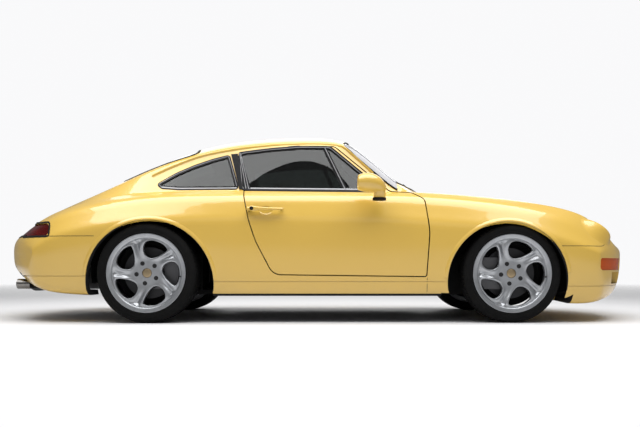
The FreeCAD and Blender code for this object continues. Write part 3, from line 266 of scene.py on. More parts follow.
cabin_glass = clear("tinted_cabin_glass", (.10, .115, .11))
lamp_glass = clear("clear_lamp_glass", (.93, .94, .95))
red_lens = lens("red_lamp_lens", (.17, .003, .003), (.08, .001, .001), 700, .0006, .6)
amber_lens = lens("amber_lamp_lens", (.62, .10, .002), (.44, .045, .001), 700, .0006, .2)
black_plastic = grained("moulded_black_plastic", (.014, .014, .015), .45, 900, .0001)
satin_trim = grained("satin_black_trim", (.010, .010, .011), .30, 1200, .00004)
rubber = grained("seal_rubber", (.010, .010, .010), .62, 1100, .0001)
underseal = grained("stone_chip_underseal", (.012, .012, .012), .85, 260, .0012)
tyre_rubber = grained("tyre_rubber", (.0035, .0035, .0035), .75, 800, .00012, spread=.14)
wheel_silver = grained("satin_silver_wheel_lacquer", (.30, .31, .325), .36, 1500, .00003,
                       metallic=.86, coat=.2, spread=.06)
iron = grained("cast_iron", (.10, .10, .105), .55, 500, .0003, metallic=.9, spread=.2)
# the disc's iron is darkened far below machined iron's grey: painted shade inside the wheel
disc_iron_painted_shade = grained("disc_iron_darkened_as_painted_shade", (.035, .035, .037), .5, 700, .00008, metallic=.8)
steel = grained("black_coated_steel", (.05, .05, .052), .50, 600, .0002, metallic=.7)
mirror_glass = grained("mirror_glass", (.80, .82, .84), .02, 60, .000001, metallic=1, spread=.01)
reflector = grained("lamp_reflector", (.85, .86, .88), .10, 90, .0002, metallic=1, spread=.02)
liner_black = grained("moulded_well_liner", (.006, .006, .006), .9, 200, .0006)
for dull in (tyre_rubber, liner_black, underseal, rubber, satin_trim):
    dull.shader.inputs["Specular IOR Level"].default_value = .08


# across the car and height of the tip's middle, its bore's half axes, and where the tip begins
TIP_MIDDLE, TIP_BORE, TIP_START = (-.440, .235), (.0445, .0325), -1.90


def exhaust_finish():
    """Blackened muffler steel, a polished tip, and black inside the tip's oval: soot, and
    painted shade of the bore's depth.
    """
    finish = Finish("muffler_and_tip_steel", (.10, .10, .10), .45, .9)
    x, y, z = finish.split(finish.place())
    wide, high = (y - TIP_MIDDLE[0]) / TIP_BORE[0], (z - TIP_MIDDLE[1]) / TIP_BORE[1]
    # inside the bore's oval the steel is near black: soot, and painted shade of the pipe's depth
    soot_and_bore_shade = wide * wide + high * high < 1
    tip = x < TIP_START
    stain = finish.noise(40, 3)
    finish.set("Base Color", finish.mix(soot_and_bore_shade, finish.mix(tip, (.09, .09, .09), (.22, .21, .20)),
                                        (.004, .004, .004)))
    finish.set("Metallic", 1 - soot_and_bore_shade)
    finish.set("Roughness", .55 - tip * .33 + stain * .08 + soot_and_bore_shade * .4)
    return finish


exhaust_steel = exhaust_finish()

dress(cabin_paint, "body_shell", "door_panel_left", "door_panel_right")
dress(end_paint, "front_fender_left", "front_fender_right", "front_lid", "engine_lid",
      "front_bumper", "rear_bumper")
dress(paint, "mirror_left", "mirror_right")
dress(cabin_glass, "windscreen", "rear_window", "quarter_windows", "door_glass_left",
      "door_glass_right")
dress(lamp_glass, "headlamps")
dress(red_lens, "tail_lamps")
dress(amber_lens, "front_indicators")
dress(black_plastic, "engine_grille", "wipers", "dashboard", "steering_wheel", "front_seats",
      "rear_seats")
dress(underseal, "underbody")
dress(iron, "engine_block", "suspension_arms", "rear_hub_carriers", "front_knuckle_left",
      "front_knuckle_right")
dress(steel, "rear_struts")
dress(exhaust_steel, "exhaust")
for corner in ("front_left", "front_right", "rear_left", "rear_right"):
    dress(wheel_silver, "rim_" + corner)
    dress(tyre_rubber, "tyre_" + corner)
    dress(disc_iron_painted_shade, "disc_" + corner)
print("finishes", len(bpy.data.materials))

# %% [markdown]
# ## Studio
# The car stands on a plain pale floor under soft light. One large lamp overhead gives the long
# highlight along the shoulders, and its near edge mirrors in the upper half of the side glass. A
# broad lamp beyond the car gives the roof its pale edge, and a weak one on the near side keeps the
# flank from going dark. The camera stands level with the sills, straight beside the car.

# %% Camera, floor and lamps
scene = bpy.context.scene
scene.view_settings.view_transform = "Standard"


def collect(obj):
    scene.collection.objects.link(obj)
    return obj


camera = collect(bpy.data.objects.new("camera", bpy.data.cameras.new("camera")))
camera.location = (.02, -5.711, .36)
camera.rotation_euler = (math.radians(90), 0, 0)
PICTURE_WIDE, PICTURE_HIGH = 640, 427
FOCAL_PIXELS, HORIZON_ROW = 788, 265.1
camera.data.sensor_width = 36
camera.data.lens = 36 * FOCAL_PIXELS / PICTURE_WIDE
camera.data.shift_y = (HORIZON_ROW - PICTURE_HIGH / 2) / PICTURE_WIDE
camera.data.clip_end = 200
scene.camera = camera


def add_lamp(name, place, target, size, power):
    light = bpy.data.lights.new(name, "AREA")
    light.shape = "RECTANGLE"
    light.size, light.size_y = size
    light.energy = power
    lamp = collect(bpy.data.objects.new(name, light))
    lamp.location = place
    lamp.rotation_euler = (Vector(target) - Vector(place)).to_track_quat("-Z", "Y").to_euler()
    return lamp


add_lamp("lamp_overhead", (0, -1.36, 4.4), (0, -1.36, 0), (7.5, 4.3), 485)
add_lamp("lamp_near_side", (0, -7.0, 3.4), (0, 0, .4), (8, 2.0), 22)
add_lamp("lamp_far_side", (0, 6.2, 3.9), (0, 0, .6), (8, 3.2), 130)

FLOOR_REACH = 40
FADE_START, FADE_END = 4.5, 11
floor_mesh = bpy.data.meshes.new("floor")
floor_mesh.from_pydata([(x * FLOOR_REACH, y * FLOOR_REACH, 0)
                        for x, y in ((-1, -1), (1, -1), (1, 1), (-1, 1))], [], [(0, 1, 2, 3)])
floor = collect(bpy.data.objects.new("floor", floor_mesh))
floor_finish = Finish("pale_floor", (.74, .74, .75), .55)
floor_finish.bump(floor_finish.noise(60, 3), .0004, .2)
# Far from the car the floor thins out, so that it runs into the white behind without an edge
distance = floor_finish.add("ShaderNodeVectorMath", {"operation": "LENGTH"},
                            {0: floor_finish.place()}, "Value")
floor_finish.set("Alpha", floor_finish.add(
    "ShaderNodeMapRange", {}, {0: distance, 1: FADE_START, 2: FADE_END, 3: 1, 4: 0}))
floor_mesh.materials.append(floor_finish.material)

world = bpy.data.worlds.new("studio")
scene.world = world
world.use_nodes = True
sky = world.node_tree
background = sky.nodes["Background"]
path = sky.nodes.new("ShaderNodeLightPath")
seen = sky.nodes.new("ShaderNodeMath")
seen.operation = "MAXIMUM"
sky.links.new(path.outputs["Is Camera Ray"], seen.inputs[0])
sky.links.new(path.outputs["Is Transmission Ray"], seen.inputs[1])
# The world shines weakly on the car, but looks white to the camera and through glass
strength = sky.nodes.new("ShaderNodeMapRange")
strength.inputs[3].default_value = .22
strength.inputs[4].default_value = 1
sky.links.new(seen.outputs[0], strength.inputs[0])
sky.links.new(strength.outputs[0], background.inputs["Strength"])
background.inputs["Color"].default_value = (.95, .95, .96, 1)
print("camera at", tuple(camera.location))

# %% [markdown]
# ## Making pieces from rows of points
# Most pieces here are skins over rows of points, as a boat's planks lie over its frames. One helper
# joins the rows into faces and another adds the object, shades it and lets it ride on a body.

# %% Mesh helpers
def add_piece(name, body, finish, points, faces, smooth=38, stands_for=(), slot=None):
    """A mesh that rides on a body, shaded smooth except over edges sharper than smooth degrees."""
    mesh = bpy.data.meshes.new(name)
    mesh.from_pydata([tuple(p) for p in points], [], [tuple(f) for f in faces])
    mesh.materials.append(finish.material)
    build = bmesh.new()
    build.from_mesh(mesh)
    bmesh.ops.remove_doubles(build, verts=build.verts, dist=1e-6)
    bmesh.ops.recalc_face_normals(build, faces=build.faces)
    for face in build.faces:
        face.smooth = True
    for edge in build.edges:
        edge.smooth = edge.calc_face_angle(0) < math.radians(smooth)
    build.to_mesh(mesh)
    build.free()
    piece = collect(bpy.data.objects.new(name, mesh))
    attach(piece, body)
    if stands_for:
        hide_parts(*stands_for)
    return piece


def skin_rows(rows, around=False, along=False, caps=False):
    """Points and faces over equal rows; around closes each row and along joins last to first."""
    width = len(rows[0])
    points = [p for row in rows for p in row]
    faces = []
    for r in range(len(rows) if along else len(rows) - 1):
        for c in range(width if around else width - 1):
            a, b = r * width + c, r * width + (c + 1) % width
            following = (r + 1) % len(rows) * width
            faces.append((a, b, following + (c + 1) % width, following + c))
    if caps:
        faces.append(tuple(range(width)))
        faces.append(tuple((len(rows) - 1) * width + c for c in reversed(range(width))))
    return points, faces


def merge(*shapes):
    points, faces = [], []
    for some_points, some_faces in shapes:
        start = len(points)
        points += list(some_points)
        faces += [tuple(index + start for index in face) for face in some_faces]
    return points, faces


def smoothstep(value, low, high):
    share = min(1, max(0, (value - low) / (high - low)))
    return share * share * (3 - 2 * share)


def through(points, count, closed=False):
    """Evenly counted points on a smooth curve through the given ones."""
    points = [Vector(p) for p in points]
    size = len(points)
    spans = size if closed else size - 1
    found = []
    for step in range(count):
        place = step * spans / (count if closed else count - 1)
        index = min(int(place), spans - 1)
        share = place - index
        if closed:
            a, b, c, d = (points[(index + k) % size] for k in (-1, 0, 1, 2))
        else:
            a, b, c, d = (points[min(max(index + k, 0), size - 1)] for k in (-1, 0, 1, 2))
        found.append(b + ((c - a) + ((a * 2 - b * 5 + c * 4 - d) + (b * 3 - a - c * 3 + d) * share)
                          * share) * (share / 2))
    return found


def evenly(points, count):
    """The same open curve with its points at even spacing."""
    lengths = [0]
    for a, b in zip(points, points[1:]):
        lengths.append(lengths[-1] + (b - a).length)
    found = []
    index = 0
    for step in range(count):
        goal = lengths[-1] * step / (count - 1)
        while index < len(points) - 2 and lengths[index + 1] < goal:
            index += 1
        span = lengths[index + 1] - lengths[index] or 1
        found.append(points[index].lerp(points[index + 1], (goal - lengths[index]) / span))
    return found


# %% [markdown]
# ## Wheels
# Each cast wheel has five spokes that twist as they leave the hub: one edge of a spoke stands up in
# a ridge while the middle is scooped out towards the rim. A flat plate with holes would lose that,
# so the spoke's face is a field of heights over a grid that follows the edge of each opening. The
# openings lean round the hub, and the same outline turned four more times makes the whole face.

# %% One opening and the grid round it
WINDOW = [(95, 8), (99, 36), (112, 53), (138, 67), (166, 68), (187, 58), (200, 34), (205, 4),
          (203, -28), (194, -56), (178, -77), (158, -69), (136, -50), (114, -26)]
SECTOR_LEAN = 3
SPOKES = 5
HUB_EDGE, FACE_EDGE = .034, .2145
EDGE_ROUND = .0065


def polar(radius, degrees):
    angle = math.radians(degrees)
    return Vector((radius * math.cos(angle), radius * math.sin(angle)))


outline = through([(x / 1000, y / 1000, 0) for x, y in WINDOW], 140, closed=True)
outline = [p.to_2d() for p in outline]


def part_of_outline(start, end, count):
    """Points of the opening's edge, from near one corner round to near another, clockwise."""
    first = min(range(len(outline)), key=lambda i: (outline[i] - Vector(start)).length)
    last = min(range(len(outline)), key=lambda i: (outline[i] - Vector(end)).length)
    some = []
    while first != last:
        some.append(outline[first])
        first = (first + 1) % len(outline)
    return evenly(some + [outline[last]], count)


def sector_loops():
    low, high = SECTOR_LEAN - 36, SECTOR_LEAN + 36  # half a spoke's pitch each way
    radii = [HUB_EDGE + (FACE_EDGE - HUB_EDGE) * share / 21 for share in range(22)]
    corners = [(.0965, .002), (.099, .036), (.187, .058), (.178, -.077)]
    up_ray = [polar(r, high) for r in radii]
    arc = [polar(FACE_EDGE, high + (low - high) * k / 16) for k in range(17)]
    down_ray = [polar(r, low) for r in reversed(radii)]
    hub = [polar(HUB_EDGE, low + (high - low) * k / 5) for k in range(6)]
    edges = [part_of_outline(corners[start], corners[end], count)
             for start, end, count in ((1, 2, 22), (2, 3, 17), (3, 0, 22), (0, 1, 6))]
    outside = [p for run in (up_ray, arc, down_ray, hub) for p in run[:-1]]
    inside = [p for run in edges for p in run[:-1]]
    return inside, outside


inside_loop, outside_loop = sector_loops()
print("sector", len(inside_loop), len(outside_loop))


# %% The spokes' heights
def nearest(point, loop):
    return min((point - other).length for other in loop)


def rotated(point, degrees):
    angle = math.radians(degrees)
    return Vector((point.x * math.cos(angle) - point.y * math.sin(angle),
                   point.x * math.sin(angle) + point.y * math.cos(angle)))


coarse = outline[::2]
SPOKE_PITCH = 72
above = [rotated(p, SPOKE_PITCH) for p in coarse]
below = [rotated(p, -SPOKE_PITCH) for p in coarse]


def spoke_height(point, hub, rim):
    """How far out the face stands at a point, for a hub and a rim face at those places."""
    radius = point.length
    height = hub + (rim - hub) * smoothstep(radius, .075, .20)
    angle = math.degrees(math.atan2(point.y, point.x)) - SECTOR_LEAN
    here = nearest(point, coarse)
    ridge, flat = (here, nearest(point, below)) if angle < 0 else (nearest(point, above), here)
    share = ridge / max(ridge + flat, 1e-6)
    fade = smoothstep(radius, .075, .125)
    reach = smoothstep(radius, .09, .185) * (1 - smoothstep(radius, .197, .210))
    before_rim = 1 - smoothstep(radius, .19, .21)
    height += .0045 * fade * math.exp(-((share - .16) / .11) ** 2) * before_rim
    height -= .0150 * reach * math.exp(-((share - .47) / .20) ** 2)
    height += .0020 * fade * math.exp(-((share - .84) / .16) ** 2) * before_rim
    return height


def spoke_sector(hub, rim, deep):
    """Rows from the opening's wall, over its rounded edge, out to the sector's own edge."""
    rows = [[], []]
    for start in inside_loop:
        top = spoke_height(start, hub, rim)
        rows[0].append((start.x, start.y, top - deep))
        rows[1].append((start.x, start.y, top - EDGE_ROUND))
    for angle in (22, 45, 67, 90):
        row = []
        share = 1 - math.cos(math.radians(angle))
        for start, goal in zip(inside_loop, outside_loop):
            reach = (goal - start).length
            spot = start + (goal - start) * min(share * EDGE_ROUND / reach, share * .8)
            drop = EDGE_ROUND * (1 - math.sin(math.radians(angle)))
            row.append((spot.x, spot.y, spoke_height(spot, hub, rim) - drop))
        rows.append(row)
    for step in range(1, 9):
        row = []
        for start, goal in zip(inside_loop, outside_loop):
            first = min(EDGE_ROUND / (goal - start).length, .8)
            spot = start + (goal - start) * (first + (1 - first) * step / 8)
            row.append((spot.x, spot.y, spoke_height(spot, hub, rim)))
        rows.append(row)
    flat_back = [(p.x, p.y, rim - deep - .004) for p in outside_loop]
    points, faces = skin_rows(rows, around=True)
    under_points, under_faces = skin_rows([rows[0], flat_back], around=True)
    return merge((points, faces), (under_points, under_faces))


def hub_plug(hub, rim):
    """Closes the face round the axle, with a shallow round seat for the cap."""
    rows = []
    for radius, height in ((HUB_EDGE, None), (.0305, None), (.0295, .002), (.0290, .010)):
        row = []
        for k in range(25):
            spot = polar(radius, SECTOR_LEAN - 36 + 360 * k / 25)
            top = spoke_height(polar(HUB_EDGE, 0), hub, rim)
            row.append((spot.x, spot.y, top - (height or 0)))
        rows.append(row)
    return skin_rows(rows, around=True)


def turn_profile(profile, segments):
    """Revolves (radius, place along the axle) pairs into a closed ring or tube."""
    rows = []
    for k in range(segments):
        angle = 2 * math.pi * k / segments
        rows.append([(r * math.cos(angle), r * math.sin(angle), w) for r, w in profile])
    return skin_rows(rows, along=True)


# %% Rim, cap, bolts and valve
def to_car(end, side):
    """Maps a wheel's own across, up and out to the car, for a corner of the car."""
    low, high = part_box("rim_%s_%s" % (end, side))
    centre = (low + high) / 2
    hand = 1 if side == "left" else -1
    return lambda p: (centre.x + p[0], centre.y + hand * p[2], centre.z - hand * p[1])


# half width of the rim, half width and radius of the tyre, and how far out the hub's face stands
WHEEL_SIZES = {"front": (.109, .1125, .3085, .077), "rear": (.129, .1325, .311, .097)}
BOLT_CIRCLE, FIRST_BOLT = .065, 43


def rim_shape(end):
    half, _, _, hub = WHEEL_SIZES[end]
    face = half - .014
    sector = spoke_sector(hub, face, .030)
    shapes = []
    for step in range(SPOKES):
        points = [(*rotated(Vector(p[:2]), SPOKE_PITCH * step), p[2]) for p in sector[0]]
        shapes.append((points, sector[1]))
    shapes.append(hub_plug(hub, face))
    lip = [(.2135, face - .034), (.2135, face - .004), (.2145, face), (.2175, face + .0065),
           (.2215, face + .0095), (.2290, face + .0108), (.2370, face + .0125), (.2420, half),
           (.2448, half - .0005), (.2460, half - .002), (.2460, half - .0095),
           (.2450, half - .0118), (.2375, half - .0122), (.2370, half - .03),
           (.2368, -half + .0122), (.2450, -half + .0118),
           (.2460, -half + .0095), (.2460, -half + .002), (.2440, -half), (.2310, -half + .004),
           (.2295, -half + .03), (.2295, face - .036)]
    shapes.append(turn_profile(lip + lip[:1], 120))
    return merge(*shapes)


def round_pieces(end):
    """The cap, five bolts on flat black discs that paint the shade of their lug holes, and the
    valve, in the wheel's own places.
    """
    half, _, _, hub = WHEEL_SIZES[end]
    cap = [(.0001, hub + .0015), (.010, hub + .0013), (.018, hub + .0006), (.0245, hub - .0006),
           (.0275, hub - .0022), (.0290, hub - .0060), (.0290, hub - .010)]
    seats, bolts = [], []
    for step in range(SPOKES):
        spot = polar(BOLT_CIRCLE, FIRST_BOLT + SPOKE_PITCH * step)
        # each bolt sits on a flat black disc in place of a lug hole: painted shade of the hole
        ring = [(.0001, hub + .0002), (.0105, hub + .0002), (.0112, hub + .0009),
                (.0128, hub + .0012), (.0140, hub + .0002), (.0142, hub - .003)]
        head = [(.0001, hub + .0008), (.0040, hub + .0008), (.0046, hub + .0032),
                (.0066, hub + .0030), (.0076, hub + .0016), (.0080, hub + .0002)]
        for profile, found, segments in ((ring, seats, 28), (head, bolts, 18)):
            points, faces = turn_profile(profile, segments)
            found.append(([(p[0] + spot.x, p[1] + spot.y, p[2]) for p in points], faces))
    stem_spot = polar(.2105, -6)
    stem = [(.0001, half - .001), (.0036, half - .0012), (.0040, half - .004), (.0034, half - .010),
            (.0050, half - .014), (.0055, half - .024)]
    points, faces = turn_profile(stem, 16)
    valve = ([(p[0] + stem_spot.x, p[1] + stem_spot.y, p[2]) for p in points], faces)
    return turn_profile(cap, 48), merge(*seats), merge(*bolts), valve


# %% [markdown]
# ## Tyres
# A tyre is a turned section, but its tread is what makes it read as rubber: four grooves run round
# it and narrow slots cut the shoulders into blocks. The section is turned in short uneven steps,
# and the narrow steps are the slots, where the shoulder points drop to the groove's floor.

# %% Tyre section and tread
PITCHES = 64
SLOT_DEPTH = .0042


def tyre_shape(end):
    half, side, radius, _ = WHEEL_SIZES[end]
    bead = [(.2374, half - .026), (.2376, half - .0128), (.2464, half - .0126),
            (.2472, half - .004), (.2500, half + .0012), (.2530, half + .0034),
            (.2552, half + .0034), (.2575, half + .0022), (.2630, side - .0012),
            (.2700, side), (.2790, side - .0006), (.2870, side - .0036),
            (.2935, side - .0080)]
    shoulder = [(radius - .0100, side - .0125), (radius - .0058, side - .0185),
                (radius - .0028, side - .0265), (radius - .0012, side - .0380)]
    grooves = []
    for centre in (.62, .215):
        middle = (side - .014) * centre
        grooves += [(radius - .0004, middle + .0062), (radius - .0066, middle + .0046),
                    (radius - .0066, middle - .0046), (radius - .0002, middle - .0062)]
    profile = bead + shoulder + grooves
    profile = profile + [(r, -w) for r, w in reversed(profile)]
    slotted = set()
    for index, (r, w) in enumerate(profile):
        on_shoulder = r > radius - .0052 and abs(w) > (side - .014) * .68
        if on_shoulder or r > radius - .001 and abs(w) < .02:
            slotted.add(index)
    rows = []
    for pitch in range(PITCHES):
        for share, cut in ((0, 0), (.40, 0), (.80, 0), (.835, 1), (.965, 1)):
            row = []
            for index, (r, w) in enumerate(profile):
                lean = .55 * w / side
                angle = 2 * math.pi * (pitch + share + lean) / PITCHES
                deep = SLOT_DEPTH if cut and index in slotted else 0
                row.append(((r - deep) * math.cos(angle), (r - deep) * math.sin(angle), w))
            rows.append(row)
    return skin_rows(rows, along=True)


cap_finish = grained("satin_bronze_cap", (.26, .20, .12), .42, 900, .00003, metallic=.85)
bolts_black_and_hole_shade = grained("black_bolts_and_painted_hole_shade", (.010, .010, .011), .45, 500, .00005, metallic=.3)
for end in ("front", "rear"):
    rim_points, rim_faces = rim_shape(end)
    tyre_points, tyre_faces = tyre_shape(end)
    cap, seats, bolts, valve = round_pieces(end)
    for side in ("left", "right"):
        corner = end + "_" + side
        body = "wheel_" + corner
        place = to_car(end, side)
        rim, tyre = (rim_points, rim_faces), (tyre_points, tyre_faces)
        pieces = (("cast_wheel_", rim, wheel_silver, 32, ("rim_" + corner,), "rim"),
                  ("treaded_tyre_", tyre, tyre_rubber, 30, ("tyre_" + corner,), "tyre"),
                  ("wheel_cap_", cap, cap_finish, 40, (), "rim"),
                  ("bolt_seats_", seats, bolts_black_and_hole_shade, 40, (), "iron"),
                  ("wheel_bolts_", bolts, bolts_black_and_hole_shade, 40, (), "steel"),
                  ("valve_", valve, bolts_black_and_hole_shade, 40, (), "tyre"))
        for name, (points, faces), finish, smooth, stands_for, slot in pieces:
            add_piece(name + corner, body, finish, [place(p) for p in points], faces, smooth,
                      stands_for, slot)
print("wheels", len(rim_faces), "rim faces,", len(tyre_faces), "tyre faces")

# %% [markdown]
# ## Brakes
# Behind each disc a thin sheet-steel shield keeps road dirt off it, with a turned-up edge and a
# dish in the middle. It doesn't spin: the front ones steer with the knuckles and the rear ones are
# bolted to the hub carriers. The shields are why one cannot look straight through a wheel.

# %% Dirt shields
for end in ("front", "rear"):
    for side, hand in (("left", 1), ("right", -1)):
        low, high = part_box("disc_%s_%s" % (end, side))
        centre = (low + high) / 2
        disc = nodes["disc_%s_%s" % (end, side)]
        spots = [disc.matrix_world @ vertex.co for vertex in disc.data.vertices]
        inner_face = hand * min(abs(p.y) for p in spots
                                if math.hypot(p.x - centre.x, p.z - centre.z) > .15)
        sheet = [(.060, .004), (.085, .010), (.150, .012), (.195, .010), (.203, .004),
                 (.205, -.010), (.2065, -.010), (.2045, .006), (.196, .0125), (.150, .0145),
                 (.085, .0125), (.060, .0065)]
        rows = []
        for k in range(72):
            angle = 2 * math.pi * k / 72
            rows.append([(centre.x + r * math.cos(angle), inner_face - hand * depth,
                          centre.z + r * math.sin(angle)) for r, depth in sheet])
        body = "knuckle_" + side if end == "front" else "chassis"
        add_piece("dirt_shield_%s_%s" % (end, side), body, liner_black,
                  *skin_rows(rows, True, True), slot="steel")
print("dirt shields made")
# %% [markdown]
# ## Laying trim on the skin
# Seals, rain gutters and shut lines follow the curved skin. Each is drawn flat, as seen from the
# side, from above or from an end, and every point is then dropped onto the panels behind it. Glass
# lies 4 mm below the paint, so a point that lands on glass is lifted back to the paint's level.

# %% Finding the skin behind a drawing
GLASS_STEP = .004
SKIN_NODES = [name for name in nodes if name.startswith(("body_", "front_fender", "door_panel",
              "front_lid", "engine_lid", "front_bumper", "rear_bumper"))]
GLASS_NODES = ["windscreen", "rear_window", "quarter_windows", "door_glass_left",
               "door_glass_right", "tail_lamps", "front_indicators"]


def surface_of(names):
    points, faces = [], []
    for name in names:
        thing = nodes[name]
        start = len(points)
        points += [thing.matrix_world @ corner.co for corner in thing.data.vertices]
        faces += [tuple(index + start for index in face.vertices) for face in thing.data.polygons]
    return BVHTree.FromPolygons(points, faces)


skins = ((surface_of(SKIN_NODES), 0), (surface_of(GLASS_NODES), GLASS_STEP))
END_PLACE, END_RADIUS = 1.15, .85


def drawing_point(u, v, way):
    """Where a drawn point stands outside the car, and which way is outward there."""
    if way in ("left", "right"):
        outward = Vector((0, 1 if way == "left" else -1, 0))
        return Vector((u, 0, v)) + outward * 2, outward
    if way == "top":
        return Vector((u, v, 2)), Vector((0, 0, 1))
    if way in ("nose", "tail"):
        # Both ends are drawn as if unrolled from a drum, so a band can run round the corners
        hand = 1 if way == "nose" else -1
        outward = Vector((hand * math.cos(u / END_RADIUS), math.sin(u / END_RADIUS), 0))
        return Vector((hand * END_PLACE, 0, v)) + outward * 2, outward
    centre, outward, across, upward = way
    return centre + outward + across * u + upward * v, outward


def first_hit(u, v, way):
    """The outermost point of the skin behind one point of a drawing, and which way it faces."""
    start, outward = drawing_point(u, v, way)
    best = None
    for tree, lift in skins:
        spot, normal, _, _ = tree.ray_cast(start, -outward)
        if spot is None:
            continue
        normal = normal if normal.dot(outward) > 0 else -normal
        spot = spot + normal * lift
        if best is None or spot.dot(outward) > best[0].dot(outward):
            best = (spot, normal)
    return best


BESIDE, DEEP = .009, .012  # how far beside a point to look, and how deep a shut line falls


def skin_point(u, v, way):
    """As first_hit, but a point that falls down a shut line takes the level of its edges."""
    flat, outward = drawing_point(u, v, way)
    found = first_hit(u, v, way)
    beside = [hit for hit in (first_hit(u + a, v + b, way) for a, b in
              ((BESIDE, 0), (-BESIDE, 0), (0, BESIDE), (0, -BESIDE))) if hit]
    if not beside:
        return found
    level = sorted(hit[0].dot(outward) for hit in beside)[len(beside) // 2]
    if found is None or level - found[0].dot(outward) > DEEP:
        found = (flat + outward * (level - flat.dot(outward)), beside[0][1])
    return found


def offset_path(path, distance, closed):
    """The drawn path moved sideways; a positive distance lies on its left."""
    count = len(path)
    moved = []
    for index, here in enumerate(path):
        before = path[index - 1] if closed or index else here
        after = path[(index + 1) % count] if closed or index < count - 1 else here
        way = Vector((after[0] - before[0], after[1] - before[1])).normalized()
        moved.append((here[0] - way.y * distance, here[1] + way.x * distance))
    return moved


def lay(name, body, finish, way, lines, rises, closed=False, smooth=38):
    """A skin over drawn lines, each at its own rise over the car's skin."""
    rows = []
    for line, rise in zip(lines, rises):
        hits = [skin_point(u, v, way) for u, v in line]
        known = [index for index, hit in enumerate(hits) if hit]
        row = []
        for index, (u, v) in enumerate(line):
            spot, normal = hits[min(known, key=lambda other: abs(other - index))]
            flat, outward = drawing_point(u, v, way)
            spot = flat + outward * (spot - flat).dot(outward)
            row.append(spot + normal * rise)
        rows.append(row)
    return add_piece(name, body, finish, *skin_rows(rows, around=closed), smooth=smooth)


def lay_strip(name, body, finish, way, path, profile, closed=False, smooth=38):
    """profile is a list of (distance to the left of the path, rise)."""
    lines = [offset_path(path, across, closed) for across, _ in profile]
    return lay(name, body, finish, way, lines, [rise for _, rise in profile], closed, smooth)


def lay_patch(name, body, finish, way, one_side, other_side, rise, steps=6):
    """A thin cover between two drawn lines, with its edges turned down to the skin."""
    shares = [0] + [step / steps for step in range(steps + 1)] + [1]
    lines = [[Vector(a).lerp(Vector(b), share)[:] for a, b in zip(one_side, other_side)]
             for share in shares]
    return lay(name, body, finish, way, lines, [-.002] + [rise] * (steps + 1) + [-.002])


def rounded(corners, closed=True, pitch=.012):
    """Points along straight sides and round corners, each corner given as (u, v, radius)."""
    count = len(corners)
    found = []
    for index in range(count):
        here = Vector(corners[index][:2])
        if not closed and index in (0, count - 1):
            found.append(here)
            continue
        back = Vector(corners[index - 1][:2]) - here
        ahead = Vector(corners[(index + 1) % count][:2]) - here
        half = back.angle(ahead) / 2
        reach = min(corners[index][2] / math.tan(half), back.length * .49, ahead.length * .49)
        start, end = here + back.normalized() * reach, here + ahead.normalized() * reach
        for step in range(7):
            share = step / 6
            found.append(start.lerp(here, share).lerp(here.lerp(end, share), share))
    if closed:
        found.append(found[0])
    length = sum((b - a).length for a, b in zip(found, found[1:]))
    points = evenly(found, max(8, int(length / pitch)))
    return [tuple(p) for p in (points[:-1] if closed else points)]


SIDES = (("left", 1), ("right", -1))
DOOR_BODY = {"left": "door_left", "right": "door_right"}

# %% [markdown]
# ## Window frames
# The door's window has a black frame with a thin raised bead in it, a divider bar behind the small
# front light and a ribbed post where it meets the quarter window. The beads and the post's ribs are
# grey, a painted highlight along the edges of the black trim. Each belongs to what it is screwed
# to: the door's frame rides on the door, and the quarter window's stays on the body.

# %% Frames, posts and waist seals
QUARTER_WINDOW = [(-.5024, .8475, .02), (-.5728, 1.0775, .02), (-.6819, 1.0488, .3),
                  (-.7978, 1.0088, .3), (-.9136, .9575, .3), (-1.0363, .8825, .018),
                  (-.9999, .855, .02), (-.8841, .845, .2)]
DOOR_WINDOW = [(-.4729, .8525, .02), (-.5001, 1.0825, .025), (-.3047, 1.1075, .4),
               (-.1116, 1.1238, .4), (.0815, 1.1225, .045), (.336, .900, .3), (.386, .8425, .025)]
REAR_SHUT_LINE = [(-.4705, .842), (-.478, .885), (-.486, .93), (-.493, .97), (-.500, 1.01),
                  (-.5075, 1.052), (-.514, 1.086)]
FRAME_PROFILE = [(-.006, -.004), (-.005, .0015), (.001, .003), (.008, .003), (.010, .0045),
                 (.017, .0045), (.019, .001), (.019, -.003)]
BEAD_PROFILE = [(.0035, .002), (.004, .0042), (.0065, .0042), (.007, .002)]
# grey on the black frames: a painted highlight along their edges
bead_painted_highlight = grained("grey_bead_as_painted_highlight", (.16, .16, .165), .42, 900, .00003, metallic=.9)
quarter_path, door_path = rounded(QUARTER_WINDOW), rounded(DOOR_WINDOW)

gutter = through([(x, z, 0) for x, z in (
    (.364, .953), (.262, 1.052), (.190, 1.118), (.150, 1.141), (.090, 1.1535), (-.048, 1.158),
    (-.254, 1.149), (-.501, 1.122), (-.749, 1.075), (-.930, 1.010), (-1.078, .942))], 120)
divider = rounded([(.050, 1.128, 0), (.182, .842, 0)], closed=False)
steps = [index / (len(REAR_SHUT_LINE) - 1) for index in range(len(REAR_SHUT_LINE))]
WAIST_PROFILE = [(-.004, .002), (-.004, .0055), (.004, .0055), (.005, .001)]

